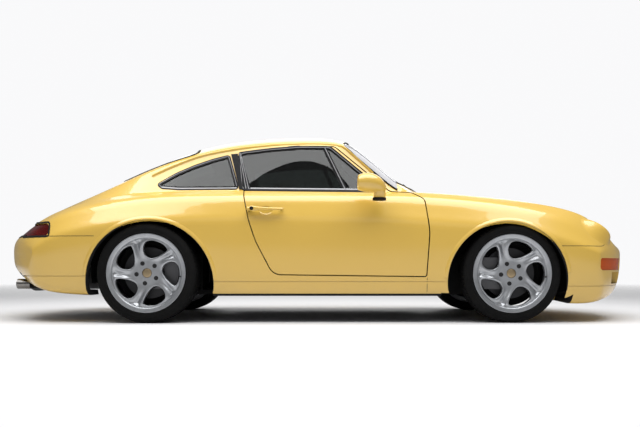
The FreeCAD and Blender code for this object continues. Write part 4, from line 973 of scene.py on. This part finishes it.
for side, door in DOOR_BODY.items():
    lay_strip("quarter_window_frame_" + side, "chassis", satin_trim, side, quarter_path,
              FRAME_PROFILE, closed=True)
    lay_strip("quarter_window_bead_" + side, "chassis", bead_painted_highlight, side, quarter_path,
              BEAD_PROFILE, closed=True)
    lay_strip("door_window_frame_" + side, door, satin_trim, side, door_path, FRAME_PROFILE,
              closed=True)
    lay_strip("door_window_bead_" + side, door, bead_painted_highlight, side, door_path, BEAD_PROFILE,
              closed=True)
    lay_patch("quarter_post_cover_" + side, "chassis", satin_trim, side,
              [(-.497 - .064 * s, .842 + .242 * s) for s in steps],
              [(x - .0035, z) for x, z in REAR_SHUT_LINE], .0052)
    lay_patch("door_post_cover_" + side, door, satin_trim, side,
              [(x + .0035, z) for x, z in REAR_SHUT_LINE],
              [(-.424 - .073 * s, .848 + .236 * s) for s in steps], .0052)
    for name, place in (("front", .70), ("rear", .30)):
        rib = [(x + .0035 + place * (-.424 - .073 * s - x - .0035), z + .004)
               for s, (x, z) in zip(steps, REAR_SHUT_LINE)]
        lay_strip("door_post_%s_rib_%s" % (name, side), door, bead_painted_highlight, side,
                  rounded([(x, z, .5) for x, z in rib], closed=False),
                  [(-.0022, .0045), (-.0018, .0075), (.0018, .0075), (.0022, .0045)])
    lay_strip("divider_bar_" + side, door, satin_trim, side, divider,
              [(-.015, -.004), (-.014, .001), (-.006, .001), (-.004, .005), (.004, .005),
               (.006, .001), (.014, .001), (.015, -.004)])
    lay_strip("divider_bead_" + side, door, bead_painted_highlight, side, divider,
              [(-.003, .0045), (-.002, .0062), (.002, .0062), (.003, .0045)])
    lay_strip("door_waist_bead_" + side, door, bead_painted_highlight, side,
              rounded([(-.440, .8505, 0), (.362, .8425, 0)], closed=False), WAIST_PROFILE)
    lay_strip("quarter_waist_bead_" + side, "chassis", bead_painted_highlight, side,
              rounded([(-1.000, .860, 0), (-.884, .850, .2), (-.515, .8525, 0)], closed=False),
              WAIST_PROFILE)
    lay_strip("rain_gutter_" + side, "chassis", paint, side, [(p.x, p.y) for p in gutter],
              [(-.005, -.003), (-.006, .008), (-.003, .012), (.001, .011), (.005, .004),
               (.009, -.003)], smooth=60)
print("frames laid", len(quarter_path), len(door_path))

# %% [markdown]
# ## Screens, arches and shut lines
# The windscreen and rear window sit in thick black rubber. A folded lip stiffens the edge of each
# wheel arch and catches the light as a bright line. Where two fixed panels are bolted together,
# such as a bumper under its wing, a thin dark line shows the joint.

# %% Rubber rings, arch lips and dark lines
def mirrored_outline(half):
    return half + [(x, -y, r) for x, y, r in reversed(half) if y > 0]


WINDSCREEN = mirrored_outline([(.2223, 0, 0), (.2087, .260, .26), (.1792, .4855, .07),
                               (.3996, .5462, .22), (.5086, .5826, .05), (.6313, .3295, .43),
                               (.6904, 0, 0)])
REAR_WINDOW = mirrored_outline([(-1.3642, 0, 0), (-1.3429, .2168, .35), (-1.2734, .4335, .06),
                                (-1.0759, .4638, .26), (-.7864, .4899, .06), (-.8137, .2168, .35),
                                (-.8205, 0, 0)])
SEAL_PROFILE = [(-.010, -.004), (-.009, .003), (-.002, .006), (.007, .005), (.012, .001),
                (.013, -.003)]


def screen_path(corners):
    trimmed = [corner for corner in corners if corner[1] or not corner[2]]
    path = rounded(trimmed, pitch=.02)
    area = sum(a[0] * b[1] - b[0] * a[1] for a, b in zip(path, path[1:] + path[:1]))
    return path if area < 0 else path[::-1]


for name, corners in (("windscreen_rubber", WINDSCREEN), ("rear_window_rubber", REAR_WINDOW)):
    lay_strip(name, "chassis", rubber, "top", screen_path(corners), SEAL_PROFILE, closed=True)

# The windscreen's glass wraps on to the pillars outside its rubber, and ends in a fine dark line
PILLAR_LINE = [(.172, 1.138), (.250, 1.068), (.330, .996), (.420, .916), (.517, .842)]
# Its grey, paler than black print under glass, is a painted reflection of the bright studio
screen_wrap_painted_reflection = grained("glass_over_print_painted_reflection", (.16, .16, .175), .10, 700, .00001, coat=1)
for side, hand in SIDES:
    hits = [first_hit(x, z, side) for x, z in PILLAR_LINE]
    outer_line = [(hit[0].x, hit[0].y) for hit in hits if hit]
    inner_line = [(.186, hand * .478), (.262, hand * .497), (.338, hand * .518),
                  (.424, hand * .542), (.506, hand * .572)][:len(outer_line)]
    lay_patch("windscreen_wrap_" + side, "chassis", screen_wrap_painted_reflection, "top", outer_line, inner_line,
              .0066)
    lay_strip("windscreen_wrap_line_" + side, "chassis", rubber, "top",
              rounded([(x, y, .5) for x, y in outer_line], closed=False),
              [(-.0025, -.001), (-.002, .0078), (.002, .0078), (.0025, -.001)])

# place, height and radius of each arch, and the angles at which its lip ends
ARCHES = {"front": (1.1905, .2565, .372, 9, 176), "rear": (-1.0415, .241, .397, 4, 172)}
LIP_PROFILE = [(.002, -.022), (.001, -.001), (.003, .0045), (.009, .0055), (.015, .004),
               (.024, .001), (.030, -.002)]
LINE_PROFILE = [(-.0017, -.001), (-.0015, .0005), (.0015, .0005), (.0017, -.001)]
gap_black = grained("shadow_in_a_shut_line", (.006, .006, .006), .9, 900, .0001)
for side in DOOR_BODY:
    for end, (x, z, radius, first, last) in ARCHES.items():
        path = [(x + radius * math.cos(math.radians(first + (last - first) * k / 90)),
                 z + radius * math.sin(math.radians(first + (last - first) * k / 90)))
                for k in range(91)]
        lay_strip("%s_arch_lip_%s" % (end, side), "chassis", paint, side, path[::-1], LIP_PROFILE,
                  smooth=60)
    joints = {"front_bumper_joint": rounded([(1.500, .4795, 0), (1.8148, .4795, .08),
                                             (1.890, .5284, 0)], closed=False),
              "rear_bumper_joint": rounded([(-1.375, .5405, 0), (-1.96, .5405, 0)], closed=False),
              "sill_joint": rounded([(.6885, .192, 0), (.6885, .281, 0)], closed=False)}
    for name, path in joints.items():
        lay_strip("%s_%s" % (name, side), "chassis", gap_black, side, path, LINE_PROFILE)
print("screens, arches and joints laid")

# %% [markdown]
# ## Door mirrors
# Each mirror is a smooth egg on a short neck. Its housing is a row of rounded rings from the
# glass forward, and the neck is a second row that ends in a black rubber ring on the door. A ball
# squashed to the same size would miss the flat rim that holds the glass.

# %% Mirrors
def ring_of(centre, first, second, fullness=2.5, count=40):
    """A rounded ring: first and second are the half axes as vectors."""
    ring = []
    for k in range(count):
        angle = 2 * math.pi * k / count
        c, s = math.cos(angle), math.sin(angle)
        ring.append(Vector(centre)
                    + Vector(first) * math.copysign(abs(c) ** (2 / fullness), c)
                    + Vector(second) * math.copysign(abs(s) ** (2 / fullness), s))
    return ring


def loft(rings, caps=True):
    return skin_rows(rings, around=True, caps=caps)


# place along the car, top, bottom, middle across and half width of the housing
MIRROR_RINGS = [(.2590, .9055, .8235, .905, .070), (.2525, .904, .824, .905, .0725),
                (.2510, .906, .822, .905, .0745), (.2525, .9085, .8195, .905, .0765),
                (.2580, .9115, .8175, .905, .079), (.268, .9155, .8140, .905, .0815),
                (.285, .9205, .8095, .904, .084), (.305, .9230, .8070, .9025, .0845),
                (.325, .9225, .8065, .901, .083), (.345, .9180, .8065, .899, .0785),
                (.363, .9110, .8065, .897, .072), (.380, .9010, .8068, .895, .0635),
                (.396, .8880, .8072, .893, .053), (.409, .8730, .8085, .891, .0405),
                (.418, .8560, .8115, .890, .027), (.4232, .8420, .8170, .889, .015),
                (.4245, .8330, .8210, .889, .006)]
NECK_RINGS = [(.830, .386, .030, .890, .034), (.812, .386, .034, .888, .034),
              (.800, .3865, .036, .884, .033), (.790, .3865, .0365, .878, .034),
              (.782, .386, .0375, .872, .038), (.770, .385, .039, .866, .044)]
for side, hand in SIDES:
    door = DOOR_BODY[side]
    rings = [ring_of((x, hand * y, (top + low) / 2), (0, half, 0), (0, 0, (top - low) / 2), 2.15)
             for x, top, low, y, half in MIRROR_RINGS]
    housing = loft(rings)
    neck = loft([ring_of((x, hand * y, z), (long_half, 0, 0), (0, wide_half, 0), 2.2)
                 for z, x, long_half, y, wide_half in NECK_RINGS])
    add_piece("mirror_housing_" + side, door, paint, *merge(housing, neck), smooth=50,
              stands_for=("mirror_" + side,))
    glass = [ring_of((.2596 - .002 * (1 - share * share), hand * .905, .864),
                     (0, .0705 * share, 0), (0, 0, .0405 * share), 2.15) for share in
             (.02, .2, .4, .6, .8, 1)]
    add_piece("mirror_glass_" + side, door, mirror_glass, *loft(glass))
    base = [ring_of((.385, hand * .866, z), (.040 + grow, 0, 0), (0, .045 + grow, 0), 2.2)
            for z, grow in ((.7745, -.003), (.7745, .0005), (.7725, .0015), (.766, .002),
                            (.758, .0015))]
    add_piece("mirror_base_seal_" + side, door, rubber, *loft(base))
print("mirrors made")

# %% [markdown]
# ## Door handles
# A painted grip tapers forward over a hollow for the fingers. At its thick rear end sits the lock,
# a black barrel in a thin ring, with a slot for the key.

# %% Lock barrels
def turned(centre, axis, profile, segments=36):
    """A round piece about an axis from (radius, height) pairs."""
    axis = Vector(axis).normalized()
    side_one = axis.orthogonal().normalized()
    side_two = axis.cross(side_one)
    rows = []
    for radius, height in profile:
        row = []
        for k in range(segments):
            angle = 2 * math.pi * k / segments
            row.append(Vector(centre) + axis * height + (side_one * math.cos(angle)
                       + side_two * math.sin(angle)) * max(radius, 1e-5))
        rows.append(row)
    return skin_rows(rows, around=True)


# place along the door, height, half height and how far the grip stands out from the door
GRIP = [(-.4175, .7105, .004, .012), (-.4160, .7105, .0105, .014), (-.4100, .7105, .0150, .016),
        (-.3980, .7105, .0165, .017), (-.3850, .7105, .0150, .017), (-.3650, .7100, .0115, .017),
        (-.3400, .7095, .0092, .0165), (-.3000, .7085, .0080, .016), (-.2600, .7075, .0070, .014),
        (-.2300, .7070, .0060, .011), (-.2160, .7070, .0045, .007), (-.2110, .7070, .0015, .003)]
for side, hand in SIDES:
    skin_y = abs(first_hit(-.43, .7105, side)[0].y)
    grip = [ring_of((x, hand * (skin_y + stand - .009), z), (0, 0, half), (0, .009, 0), 2.3, 28)
            for x, z, half, stand in GRIP]
    add_piece("door_grip_" + side, DOOR_BODY[side], paint, *loft(grip), smooth=60)
    outward = Vector((0, hand, 0))
    spot = Vector((-.403, hand * (skin_y + .0165), .7105))
    barrel = turned(spot, outward, [(.0122, -.004), (.0122, .0010), (.0114, .0018), (.0106, .0018),
                                    (.0100, .0010), (.0094, .0016), (.0060, .0022), (0, .0024)])
    slot_half = Vector((.0052, 0, 0)), Vector((0, 0, .0011))
    key_slot = loft([ring_of(spot + outward * lift, slot_half[0] * grow, slot_half[1] * grow, 4, 16)
                     for lift, grow in ((.0015, 1), (.0027, 1), (.0028, .9))])
    add_piece("door_lock_" + side, DOOR_BODY[side], satin_trim, *barrel)
    add_piece("key_slot_" + side, DOOR_BODY[side], steel, *key_slot)
print("locks made")

# %% [markdown]
# ## Headlamps
# Each headlamp is a round bowl set into the wing's slope under a clear domed lens. From the front
# one sees a painted ring, the thick glass, a polished bowl and the bulb's small hood. The bowl is
# a turned curve, and the lens takes the slope of the wing and swells slightly over it.

# %% Headlamps and front turn signals
LAMP_CENTRE = (1.8510, .575, .625)
LAMP_LEAN = math.radians(38)
lamp_skins = surface_of(["headlamps"])


def lamp_frame(hand):
    outward = Vector((math.cos(LAMP_LEAN), 0, math.sin(LAMP_LEAN)))
    across = Vector((0, hand, 0))
    upward = outward.cross(across) * hand
    return Vector((LAMP_CENTRE[0], hand * LAMP_CENTRE[1], LAMP_CENTRE[2])), outward, across, upward


def lamp_point(hand, radius, angle, sink=0):
    """A point of the lamp's face, which keeps the slope of the wing's crest right across."""
    centre, outward, across, upward = lamp_frame(hand)
    rise = upward * (radius * math.sin(angle))
    spot = None
    for share in (1, .93, .86, .7, 0):
        spot = spot or lamp_skins.ray_cast(centre + outward * .5 + rise * share, -outward)[0]
    depth = (spot - centre).dot(outward)
    return centre + rise + across * (radius * math.cos(angle)) + outward * (depth - sink)


def lamp_rings(hand, profile, segments=56):
    return [[lamp_point(hand, max(radius, .0005), 2 * math.pi * k / segments, sink)
             for k in range(segments)] for radius, sink in profile]


for side, hand in SIDES:
    dome = [(r / 12 * .0895, .0035 - .004 * (1 - (r / 12) ** 2)) for r in range(13)]
    lens_piece = skin_rows(lamp_rings(hand, dome + [(.0905, .006)]), around=True)
    add_piece("headlamp_lens_" + side, "chassis", lamp_glass, *lens_piece,
              stands_for=("headlamps",), slot="headlamp_glass")
    bowl = [(.0905, .006), (.088, .012), (.082, .022), (.071, .034), (.056, .044), (.038, .051),
            (.016, .054), (0, .0545)]
    add_piece("headlamp_bowl_" + side, "chassis", reflector,
              *skin_rows(lamp_rings(hand, bowl), around=True), stands_for=("headlamps",),
              slot="headlamp_glass")
    # The wing rises round the lamp's outer side to meet its rim
    way = lamp_frame(hand)
    shoulder = []
    for step in range(9):
        share = step / 8
        row = []
        for k in range(56):
            angle = 2 * math.pi * k / 56
            spread = .007 + .050 * smoothstep(math.cos(angle), -.15, .85)
            rim = lamp_point(hand, .0985, angle)
            edge = skin_point(.1008 * math.cos(angle), .1008 * math.sin(angle), way)
            lift = max(0, (rim - edge[0]).dot(way[1])) if edge else 0
            radius = .1000 + spread * share
            found = skin_point(max(radius, .1008) * math.cos(angle),
                               max(radius, .1008) * math.sin(angle), way) or edge
            depth = (found[0] - way[0]).dot(way[1]) + lift * (1 - smoothstep(share, 0, 1))
            depth += .0004 - .0014 * (share == 1)
            row.append(way[0] + way[1] * depth + way[2] * (radius * math.cos(angle))
                       + way[3] * (radius * math.sin(angle)))
        shoulder.append(row)
    add_piece("headlamp_shoulder_" + side, "chassis", paint, *skin_rows(shoulder, around=True),
              smooth=80)
    bezel = [(.1010, .060), (.1005, .030), (.0995, .006), (.0980, .0005), (.0955, -.0012),
             (.0925, -.0012), (.0905, .0010), (.0900, .006)]
    add_piece("headlamp_ring_" + side, "chassis", paint,
              *skin_rows(lamp_rings(hand, bezel), around=True), smooth=50)
    root = lamp_point(hand, .0005, 0, .053)
    bulb = turned(root, way[1], [(.012, 0), (.012, .008), (.007, .012), (.007, .026),
                                 (.0105, .028), (.0105, .031), (.004, .033), (0, .033)])
    add_piece("headlamp_bulb_" + side, "chassis", steel, *bulb)
print("headlamps made")

# %% [markdown]
# ## Tail lamps and bands
# The rear lamps run right across the tail as one red band over the bumper, held in a black rubber
# surround. The band's edges are drawn on the unrolled tail, and the parts of the surround that turn
# the body's corners are drawn from each side.

# %% Lamp surrounds
BAND_EDGE = [(-.010, -.003), (-.009, .0025), (-.002, .0035), (.002, .0025), (.003, -.003)]
HALF_BAND = .60

for side, hand in SIDES:
    lay_strip("tail_lamp_surround_" + side, "chassis", rubber, side,
              rounded([(-1.90, .629, 0), (-1.6965, .629, .018), (-1.6745, .5435, .006),
                       (-1.90, .5435, 0)], closed=False),
              [(across * hand, rise) for across, rise in BAND_EDGE])
for name, height, turn in (("upper", .629, 1), ("lower", .5435, -1)):
    path = [(u / 40 * HALF_BAND, height) for u in range(-40, 41)]
    lay_strip("tail_band_%s_edge" % name, "chassis", rubber, "tail", path,
              [(across * turn, rise) for across, rise in BAND_EDGE])
print("lamp surrounds laid")

# %% [markdown]
# ## Seats
# A seat cushion is a leather bag pulled tight over foam: it is crowned in the middle, its sides
# pull in between the corners, and sewn channels run down the part one sits on, between firmer
# bolsters. Each pad is a grid of points for its face and one for its back, which close along a
# piped seam. A cloth simulation could swell such a pad too. It isn't used here: the crown is
# written as a sum, which keeps the channels sharp.

# %% Leather and a padded form
def leather_finish(name, colour):
    leather = Finish(name, colour, .48, coat=.08)
    grain = leather.add("ShaderNodeTexVoronoi", {}, {"Vector": leather.place(), "Scale": 420}, 0)
    cloud = leather.noise(5, 4)
    paler = tuple(c * 1.9 + .004 for c in colour)
    leather.set("Base Color", leather.mix(cloud, colour, paler))
    leather.set("Roughness", .44 + cloud * .12)
    return leather.bump(grain, .0005, .45)


leather = leather_finish("black_grained_leather", (.011, .011, .012))
stitching = grained("waxed_seam_thread", (.05, .05, .052), .6, 1500, .0001)


PULL_IN = .030
CHANNEL_DEPTH, GROOVE_DEPTH = .009, .007


def pad_rows(place, forward, upward, half_long, half_wide, face, back, channels, bolster, taper):
    """Face and back of a pad as rows of points; channels counts the sewn panels across it."""
    place = Vector(place)
    forward, upward = Vector(forward).normalized(), Vector(upward).normalized()
    across = forward.cross(upward)
    across_count, along_count = 64, 36
    sides = []
    for depth, is_face in ((face, True), (back, False)):
        rows = []
        for j in range(along_count + 1):
            v = math.sin(math.pi / 2 * (2 * j / along_count - 1))
            row = []
            for i in range(across_count + 1):
                w = 2 * i / across_count - 1
                u = math.sin(math.pi / 2 * w) * .55 + w * .45
                narrow = 1 - taper * smoothstep(v, .15, .95)
                s = half_wide * u * (1 - PULL_IN * (1 - v * v))
                s = s * math.sqrt(1 - .16 * v ** 4) * narrow
                t = half_long * v * (1 - PULL_IN * (1 - u * u)) * math.sqrt(1 - .16 * u ** 4)
                edge = max(0, (1 - abs(u) ** 5)) ** .5 * max(0, (1 - abs(v) ** 5)) ** .5
                height = depth * edge * (.82 + .18 * (1 - u * u) * (1 - v * v))
                if is_face:
                    rise = smoothstep(abs(u), .60, .78) * (1 - smoothstep(abs(u), .86, 1))
                    height += bolster * rise * (1 - smoothstep(v, .45, .95))
                    middle = (1 - smoothstep(abs(u), .58, .66)) * (1 - smoothstep(abs(v), .80, .92))
                    ridge = abs(math.sin(math.pi * channels * (u / .62 + 1) / 2)) ** .45
                    height -= CHANNEL_DEPTH * (1 - ridge) * middle
                    groove = math.exp(-((abs(u) - .63) / .02) ** 2)
                    groove *= 1 - smoothstep(abs(v), .88, .97)
                    height -= GROOVE_DEPTH * groove
                rise = height if is_face else -height
                row.append(place + across * s + forward * t + upward * rise)
            rows.append(row)
        sides.append(rows)
    return sides


def tube(path, radius, closed=True, segments=8):
    """A round cord, such as a seam's piping, along a path of points."""
    rows = []
    count = len(path)
    for index, here in enumerate(path):
        before = path[index - 1] if closed or index else here
        after = path[(index + 1) % count] if closed or index < count - 1 else here
        way = (after - before).normalized()
        side_one = way.cross(Vector((.13, .21, 1))).normalized()
        side_two = way.cross(side_one)
        rows.append([here + (side_one * math.cos(2 * math.pi * k / segments)
                             + side_two * math.sin(2 * math.pi * k / segments)) * radius
                     for k in range(segments)])
    return skin_rows(rows, around=True, along=closed, caps=not closed)


def pad(name, stands_for, slot_name, *shape):
    face, back = pad_rows(*shape)
    piece = add_piece(name, "chassis", leather, *merge(skin_rows(face), skin_rows(back)), smooth=80,
                      stands_for=stands_for, slot=slot_name)
    rim = (face[0] + [row[-1] for row in face[1:]] + face[-1][-2::-1]
           + [row[0] for row in face[-2:0:-1]])
    path = evenly(rim + rim[:1], 170)[:-1]
    add_piece(name + "_piping", "chassis", stitching, *tube(path, .0026), smooth=80, slot=slot_name)


# %% Front and rear seats
def block(low, high, rounding=5):
    """A small rounded housing between two corners."""
    low, high = Vector(low), Vector(high)
    middle, half = (low + high) / 2, (high - low) / 2
    rings = []
    for share, lift in ((.90, -1), (.98, -.93), (1, -.8), (1, .8), (.98, .93), (.90, 1)):
        rings.append(ring_of((middle.x, middle.y, middle.z + half.z * lift), (half.x * share, 0, 0),
                             (0, half.y * share, 0), rounding, 32))
    return loft(rings)


for side, hand in SIDES:
    y = .35 * hand
    pad("front_seat_cushion_" + side, ("front_seats",), "leather", (.085, y, .352), (.998, 0, .06),
        (-.06, 0, .998), .232, .226, .050, .062, 5, .030, .06)
    pad("front_seat_back_" + side, ("front_seats",), "leather", (-.215, y, .640), (-.150, 0, .9887),
        (.9887, 0, .150), .262, .222, .046, .040, 5, .030, .34)
    shell = block((-.150, y - .205, .232), (.285, y + .205, .300), 6)
    rails = [block((-.146, y + place - .018, .1955), (.263, y + place + .018, .236), 8)
             for place in (-.222, .222)]
    cross_bars = [block((x - .012, y - .215, .222), (x + .012, y + .215, .240), 6)
                  for x in (-.10, .22)]
    add_piece("front_seat_frame_" + side, "chassis", black_plastic,
              *merge(shell, *rails, *cross_bars), stands_for=("front_seats",), slot="leather")
    knob = turned((-.205, y - hand * .262 + hand * .50, .40), (0, hand, 0),
                  [(.024, -.010), (.026, -.004), (.026, .010), (.022, .014), (0, .015)])
    add_piece("seat_tilt_knob_" + side, "chassis", black_plastic, *knob)
    y = .245 * hand
    pad("rear_seat_cushion_" + side, ("rear_seats",), "leather", (-.528, y, .392), (.995, 0, .10),
        (-.10, 0, .995), .116, .158, .052, .062, 3, .012, 0)
    pad("rear_seat_back_" + side, ("rear_seats",), "leather", (-.700, y, .585), (-.262, 0, .965),
        (.965, 0, .262), .112, .156, .034, .026, 3, .010, .12)
print("seats padded")

# %% [markdown]
# ## Dashboard, wheel and doors inside
# Five round dials stand in a hooded row behind the steering wheel. The rim of the wheel is leather
# over a steel ring with a padded boss. Each door has a padded armrest. The photograph doesn't show
# any of these clearly, so they are typical forms of such a cabin.

# %% Dials, boss pad and armrests
dial_face = grained("printed_dial_face", (.012, .012, .013), .5, 600, .00002)
dial_ring = grained("dial_bezel", (.12, .12, .125), .3, 900, .00002, metallic=.9)
needle_red = grained("dial_needle", (.45, .05, .02), .5, 900, .00002)
DIALS = [(-.150, .030, .005), (-.080, .037, .012), (0, .045, .018), (.080, .037, .012),
         (.150, .030, .005)]
DRIVER_SIDE = .35
WHEEL_HUB = Vector((.235, DRIVER_SIDE, .735))
dash_front = surface_of(["dashboard"])
seen = dash_front.ray_cast(Vector((0, DRIVER_SIDE, .765)), Vector((1, 0, 0)))[0]
dial_x = (seen.x if seen else .285) - .010
faces, rings, needles = [], [], []
for place, radius, lift in DIALS:
    centre = Vector((dial_x, DRIVER_SIDE + place, .745 + lift))
    axis = Vector((-.985, 0, .17))
    faces.append(turned(centre, axis, [(radius, -.012), (radius, .001), (0, .0012)], 40))
    rings.append(turned(centre, axis, [(radius + .001, -.012), (radius + .004, -.002),
                                       (radius + .0035, .005), (radius, .006),
                                       (radius - .001, .002), (radius - .001, -.002)], 40))
    root = centre + axis * .0035
    needle_way = Vector((0, .1, .6)).normalized()
    needles.append(loft([ring_of(root + needle_way * radius * share, (.0006, 0, 0), (0, half, 0),
                                 2, 10)
                         for share, half in ((-.15, .0012), (.2, .0016), (.8, .0008))]))
add_piece("dial_faces", "chassis", dial_face, *merge(*faces))
add_piece("dial_rings", "chassis", dial_ring, *merge(*rings))
add_piece("dial_needles", "chassis", needle_red, *merge(*needles))
hood = []
for depth, grow in ((0, .000), (.020, .004), (.045, .004), (.085, -.004), (.120, -.030)):
    row = []
    for k in range(41):
        angle = math.pi * k / 40
        row.append(Vector((dial_x - .030 + depth, DRIVER_SIDE - (.205 + grow) * math.cos(angle),
                           .752 + (.066 + grow) * math.sin(angle) ** .8)))
    hood.append(row)
inner = [[p + Vector((.002, 0, -.006)) for p in row] for row in hood]
add_piece("dial_hood", "chassis", leather, *skin_rows(hood + inner[::-1], along=True), smooth=60)

lean = math.radians(24)
column_way = Vector((-math.cos(lean), 0, math.sin(lean)))
dress(leather, "steering_wheel")
boss_up = Vector((math.sin(lean), 0, math.cos(lean)))
boss = pad_rows(WHEEL_HUB + column_way * .006, boss_up, column_way, .056, .074, .020, .006, 1, 0,
                .10)
boss_piece = add_piece("steering_boss_pad", "steering_wheel", leather,
                       *merge(skin_rows(boss[0]), skin_rows(boss[1])), smooth=80,
                       slot="black_plastic")

# place along the door, half height, half depth and rise of the armrest's rings
ARMREST = [(-.300, .006, .006, -.02), (-.285, .024, .020, -.012), (-.240, .032, .026, -.004),
           (-.100, .034, .028, 0), (.050, .033, .027, .004), (.160, .030, .024, .014),
           (.215, .020, .017, .028), (.225, .006, .006, .034)]
for side, hand in SIDES:
    rings = [ring_of((x, hand * .716, .575 + lift), (0, half_deep, 0), (0, 0, half_high), 2.6, 28)
             for x, half_high, half_deep, lift in ARMREST]
    piece = add_piece("door_armrest_" + side, DOOR_BODY[side], leather, *loft(rings), smooth=60)
print("dials, boss and armrests made")

# %% [markdown]
# ## Wheel wells
# A black moulded liner lines each wheel well behind the tyre, from sill to bumper. It is a ribbed
# strip bent round the wheel, held just inside the arch.

# %% Well liners
# the wheel's place and height, the liner's radius and the angles at which it ends
LINERS = {"front": (1.2175, .3085, .405, -12, 192), "rear": (-1.0545, .311, .378, -10, 190)}
for side, hand in SIDES:
    for end, (x, z, radius, first, last) in LINERS.items():
        rows = []
        for k in range(61):
            angle = math.radians(first + (last - first) * k / 60)
            row = []
            for y, sink in ((.445, 0), (.50, 0), (.56, .004), (.62, 0), (.68, .003), (.716, 0)):
                reach = radius + sink
                row.append((x + reach * math.cos(angle), hand * y, z + reach * math.sin(angle)))
            for y, sink in ((.716, -.003), (.68, 0), (.62, -.003), (.56, .001), (.50, -.003),
                            (.445, -.003)):
                reach = radius + sink
                row.append((x + reach * math.cos(angle), hand * y, z + reach * math.sin(angle)))
            rows.append(row)
        add_piece("well_liner_%s_%s" % (end, side), "chassis", liner_black,
                  *skin_rows(rows, around=True, caps=True), slot="underseal")
print("well liners bent")

# %% [markdown]
# ## Wiper arms
# Each wiper blade hangs from an arm with a hinged foot on the cowl. The arm is a flat pressed bar
# that narrows towards the blade.

# %% Wiper arms
for side, start_y, end_y in (("left", .10, .27), ("right", -.36, -.18)):
    foot, _ = first_hit(.705, start_y, "top")
    tip, _ = first_hit(.632, end_y, "top")
    tip = tip + Vector((0, 0, .012))
    path = through([foot + Vector((0, 0, .012)), foot.lerp(tip, .35) + Vector((0, 0, .012)),
                    foot.lerp(tip, .7) + Vector((0, 0, .009)), tip], 14)
    rows = []
    for index, here in enumerate(path):
        way = (path[min(index + 1, 13)] - path[max(index - 1, 0)]).normalized()
        flat = way.cross(Vector((0, 0, 1))).normalized() * (.0085 - .0045 * index / 13)
        rows.append(ring_of(here, flat, (0, 0, .0032), 4, 16))
    pivot = turned(foot, (0, 0, 1), [(.016, -.006), (.016, .008), (.013, .016), (.006, .019),
                                     (0, .0195)])
    add_piece("wiper_arm_" + side, "chassis", satin_trim, *merge(loft(rows), pivot))
print("wiper arms made")

# %% [markdown]
# ## Intake slats
# The three openings under the bumper's edge each hold a black moulded insert: thin level slats on a
# few uprights, set back so that the paint's edge keeps its shadow.

# %% Slats in the front intakes
def slat_bar(start, end, half_high, half_deep):
    """A level bar with rounded edges between two points."""
    start, end = Vector(start), Vector(end)
    return loft([ring_of(start.lerp(end, share), (half_deep, 0, 0), (0, 0, half_high), 3, 16)
                 for share in (0, .25, .5, .75, 1)])


bars = []
for low_y, high_y in ((-.275, .275), (.390, .610), (-.610, -.390)):
    x = 1.985 - .16 * (abs(low_y + high_y) > .1)  # the outer two openings lie further back
    for height in (.256, .278, .300):
        bars.append(slat_bar((x, low_y, height), (x, high_y, height), .0035, .012))
    for share in (.2, .5, .8):
        y = low_y + (high_y - low_y) * share
        bars.append(loft([ring_of((x, y, z), (.010, 0, 0), (0, .003, 0), 3, 12)
                          for z in (.246, .278, .312)]))
add_piece("intake_slats", "chassis", black_plastic, *merge(*bars))
print("intake slats laid")

# %% [markdown]
# ## Cooling fan over the engine
# Under the rear lid stands the fan of the air-cooled engine: a ring with curved blades round a
# hub. It is what one sees first when the lid goes up.

# %% Fan
fan_middle = Vector((-1.500, 0, .600))
fan_way = Vector((-.30, 0, .954)).normalized()
blades = []
side_one = Vector((0, 1, 0))
side_two = fan_way.cross(side_one)
BLADES = 11
for step in range(BLADES):
    rows = []
    for share in (0, .25, .5, .75, 1):
        angle = 2 * math.pi * step / BLADES + share * .35
        radius = .038 + .080 * share
        ray = side_one * math.cos(angle) + side_two * math.sin(angle)
        round_way = fan_way.cross(ray)
        chord = (round_way * .8 + fan_way * .6) * (.017 + .008 * share)
        thick = fan_way.cross(chord).normalized() * .0012
        rows.append(ring_of(fan_middle + ray * radius, chord, thick, 2, 12))
    blades.append(loft(rows))
hub = turned(fan_middle, fan_way, [(.042, -.020), (.042, .012), (.036, .020), (.018, .023),
                                   (0, .024)])
shroud = turned(fan_middle, fan_way, [(.122, -.024), (.136, -.024), (.138, .012), (.134, .018),
                                      (.124, .018), (.122, .012), (.122, -.024)], 64)
add_piece("cooling_fan", "chassis", iron, *merge(hub, *blades), slot="iron")
add_piece("fan_shroud", "chassis", black_plastic, *shroud, slot="iron")
print("fan made")
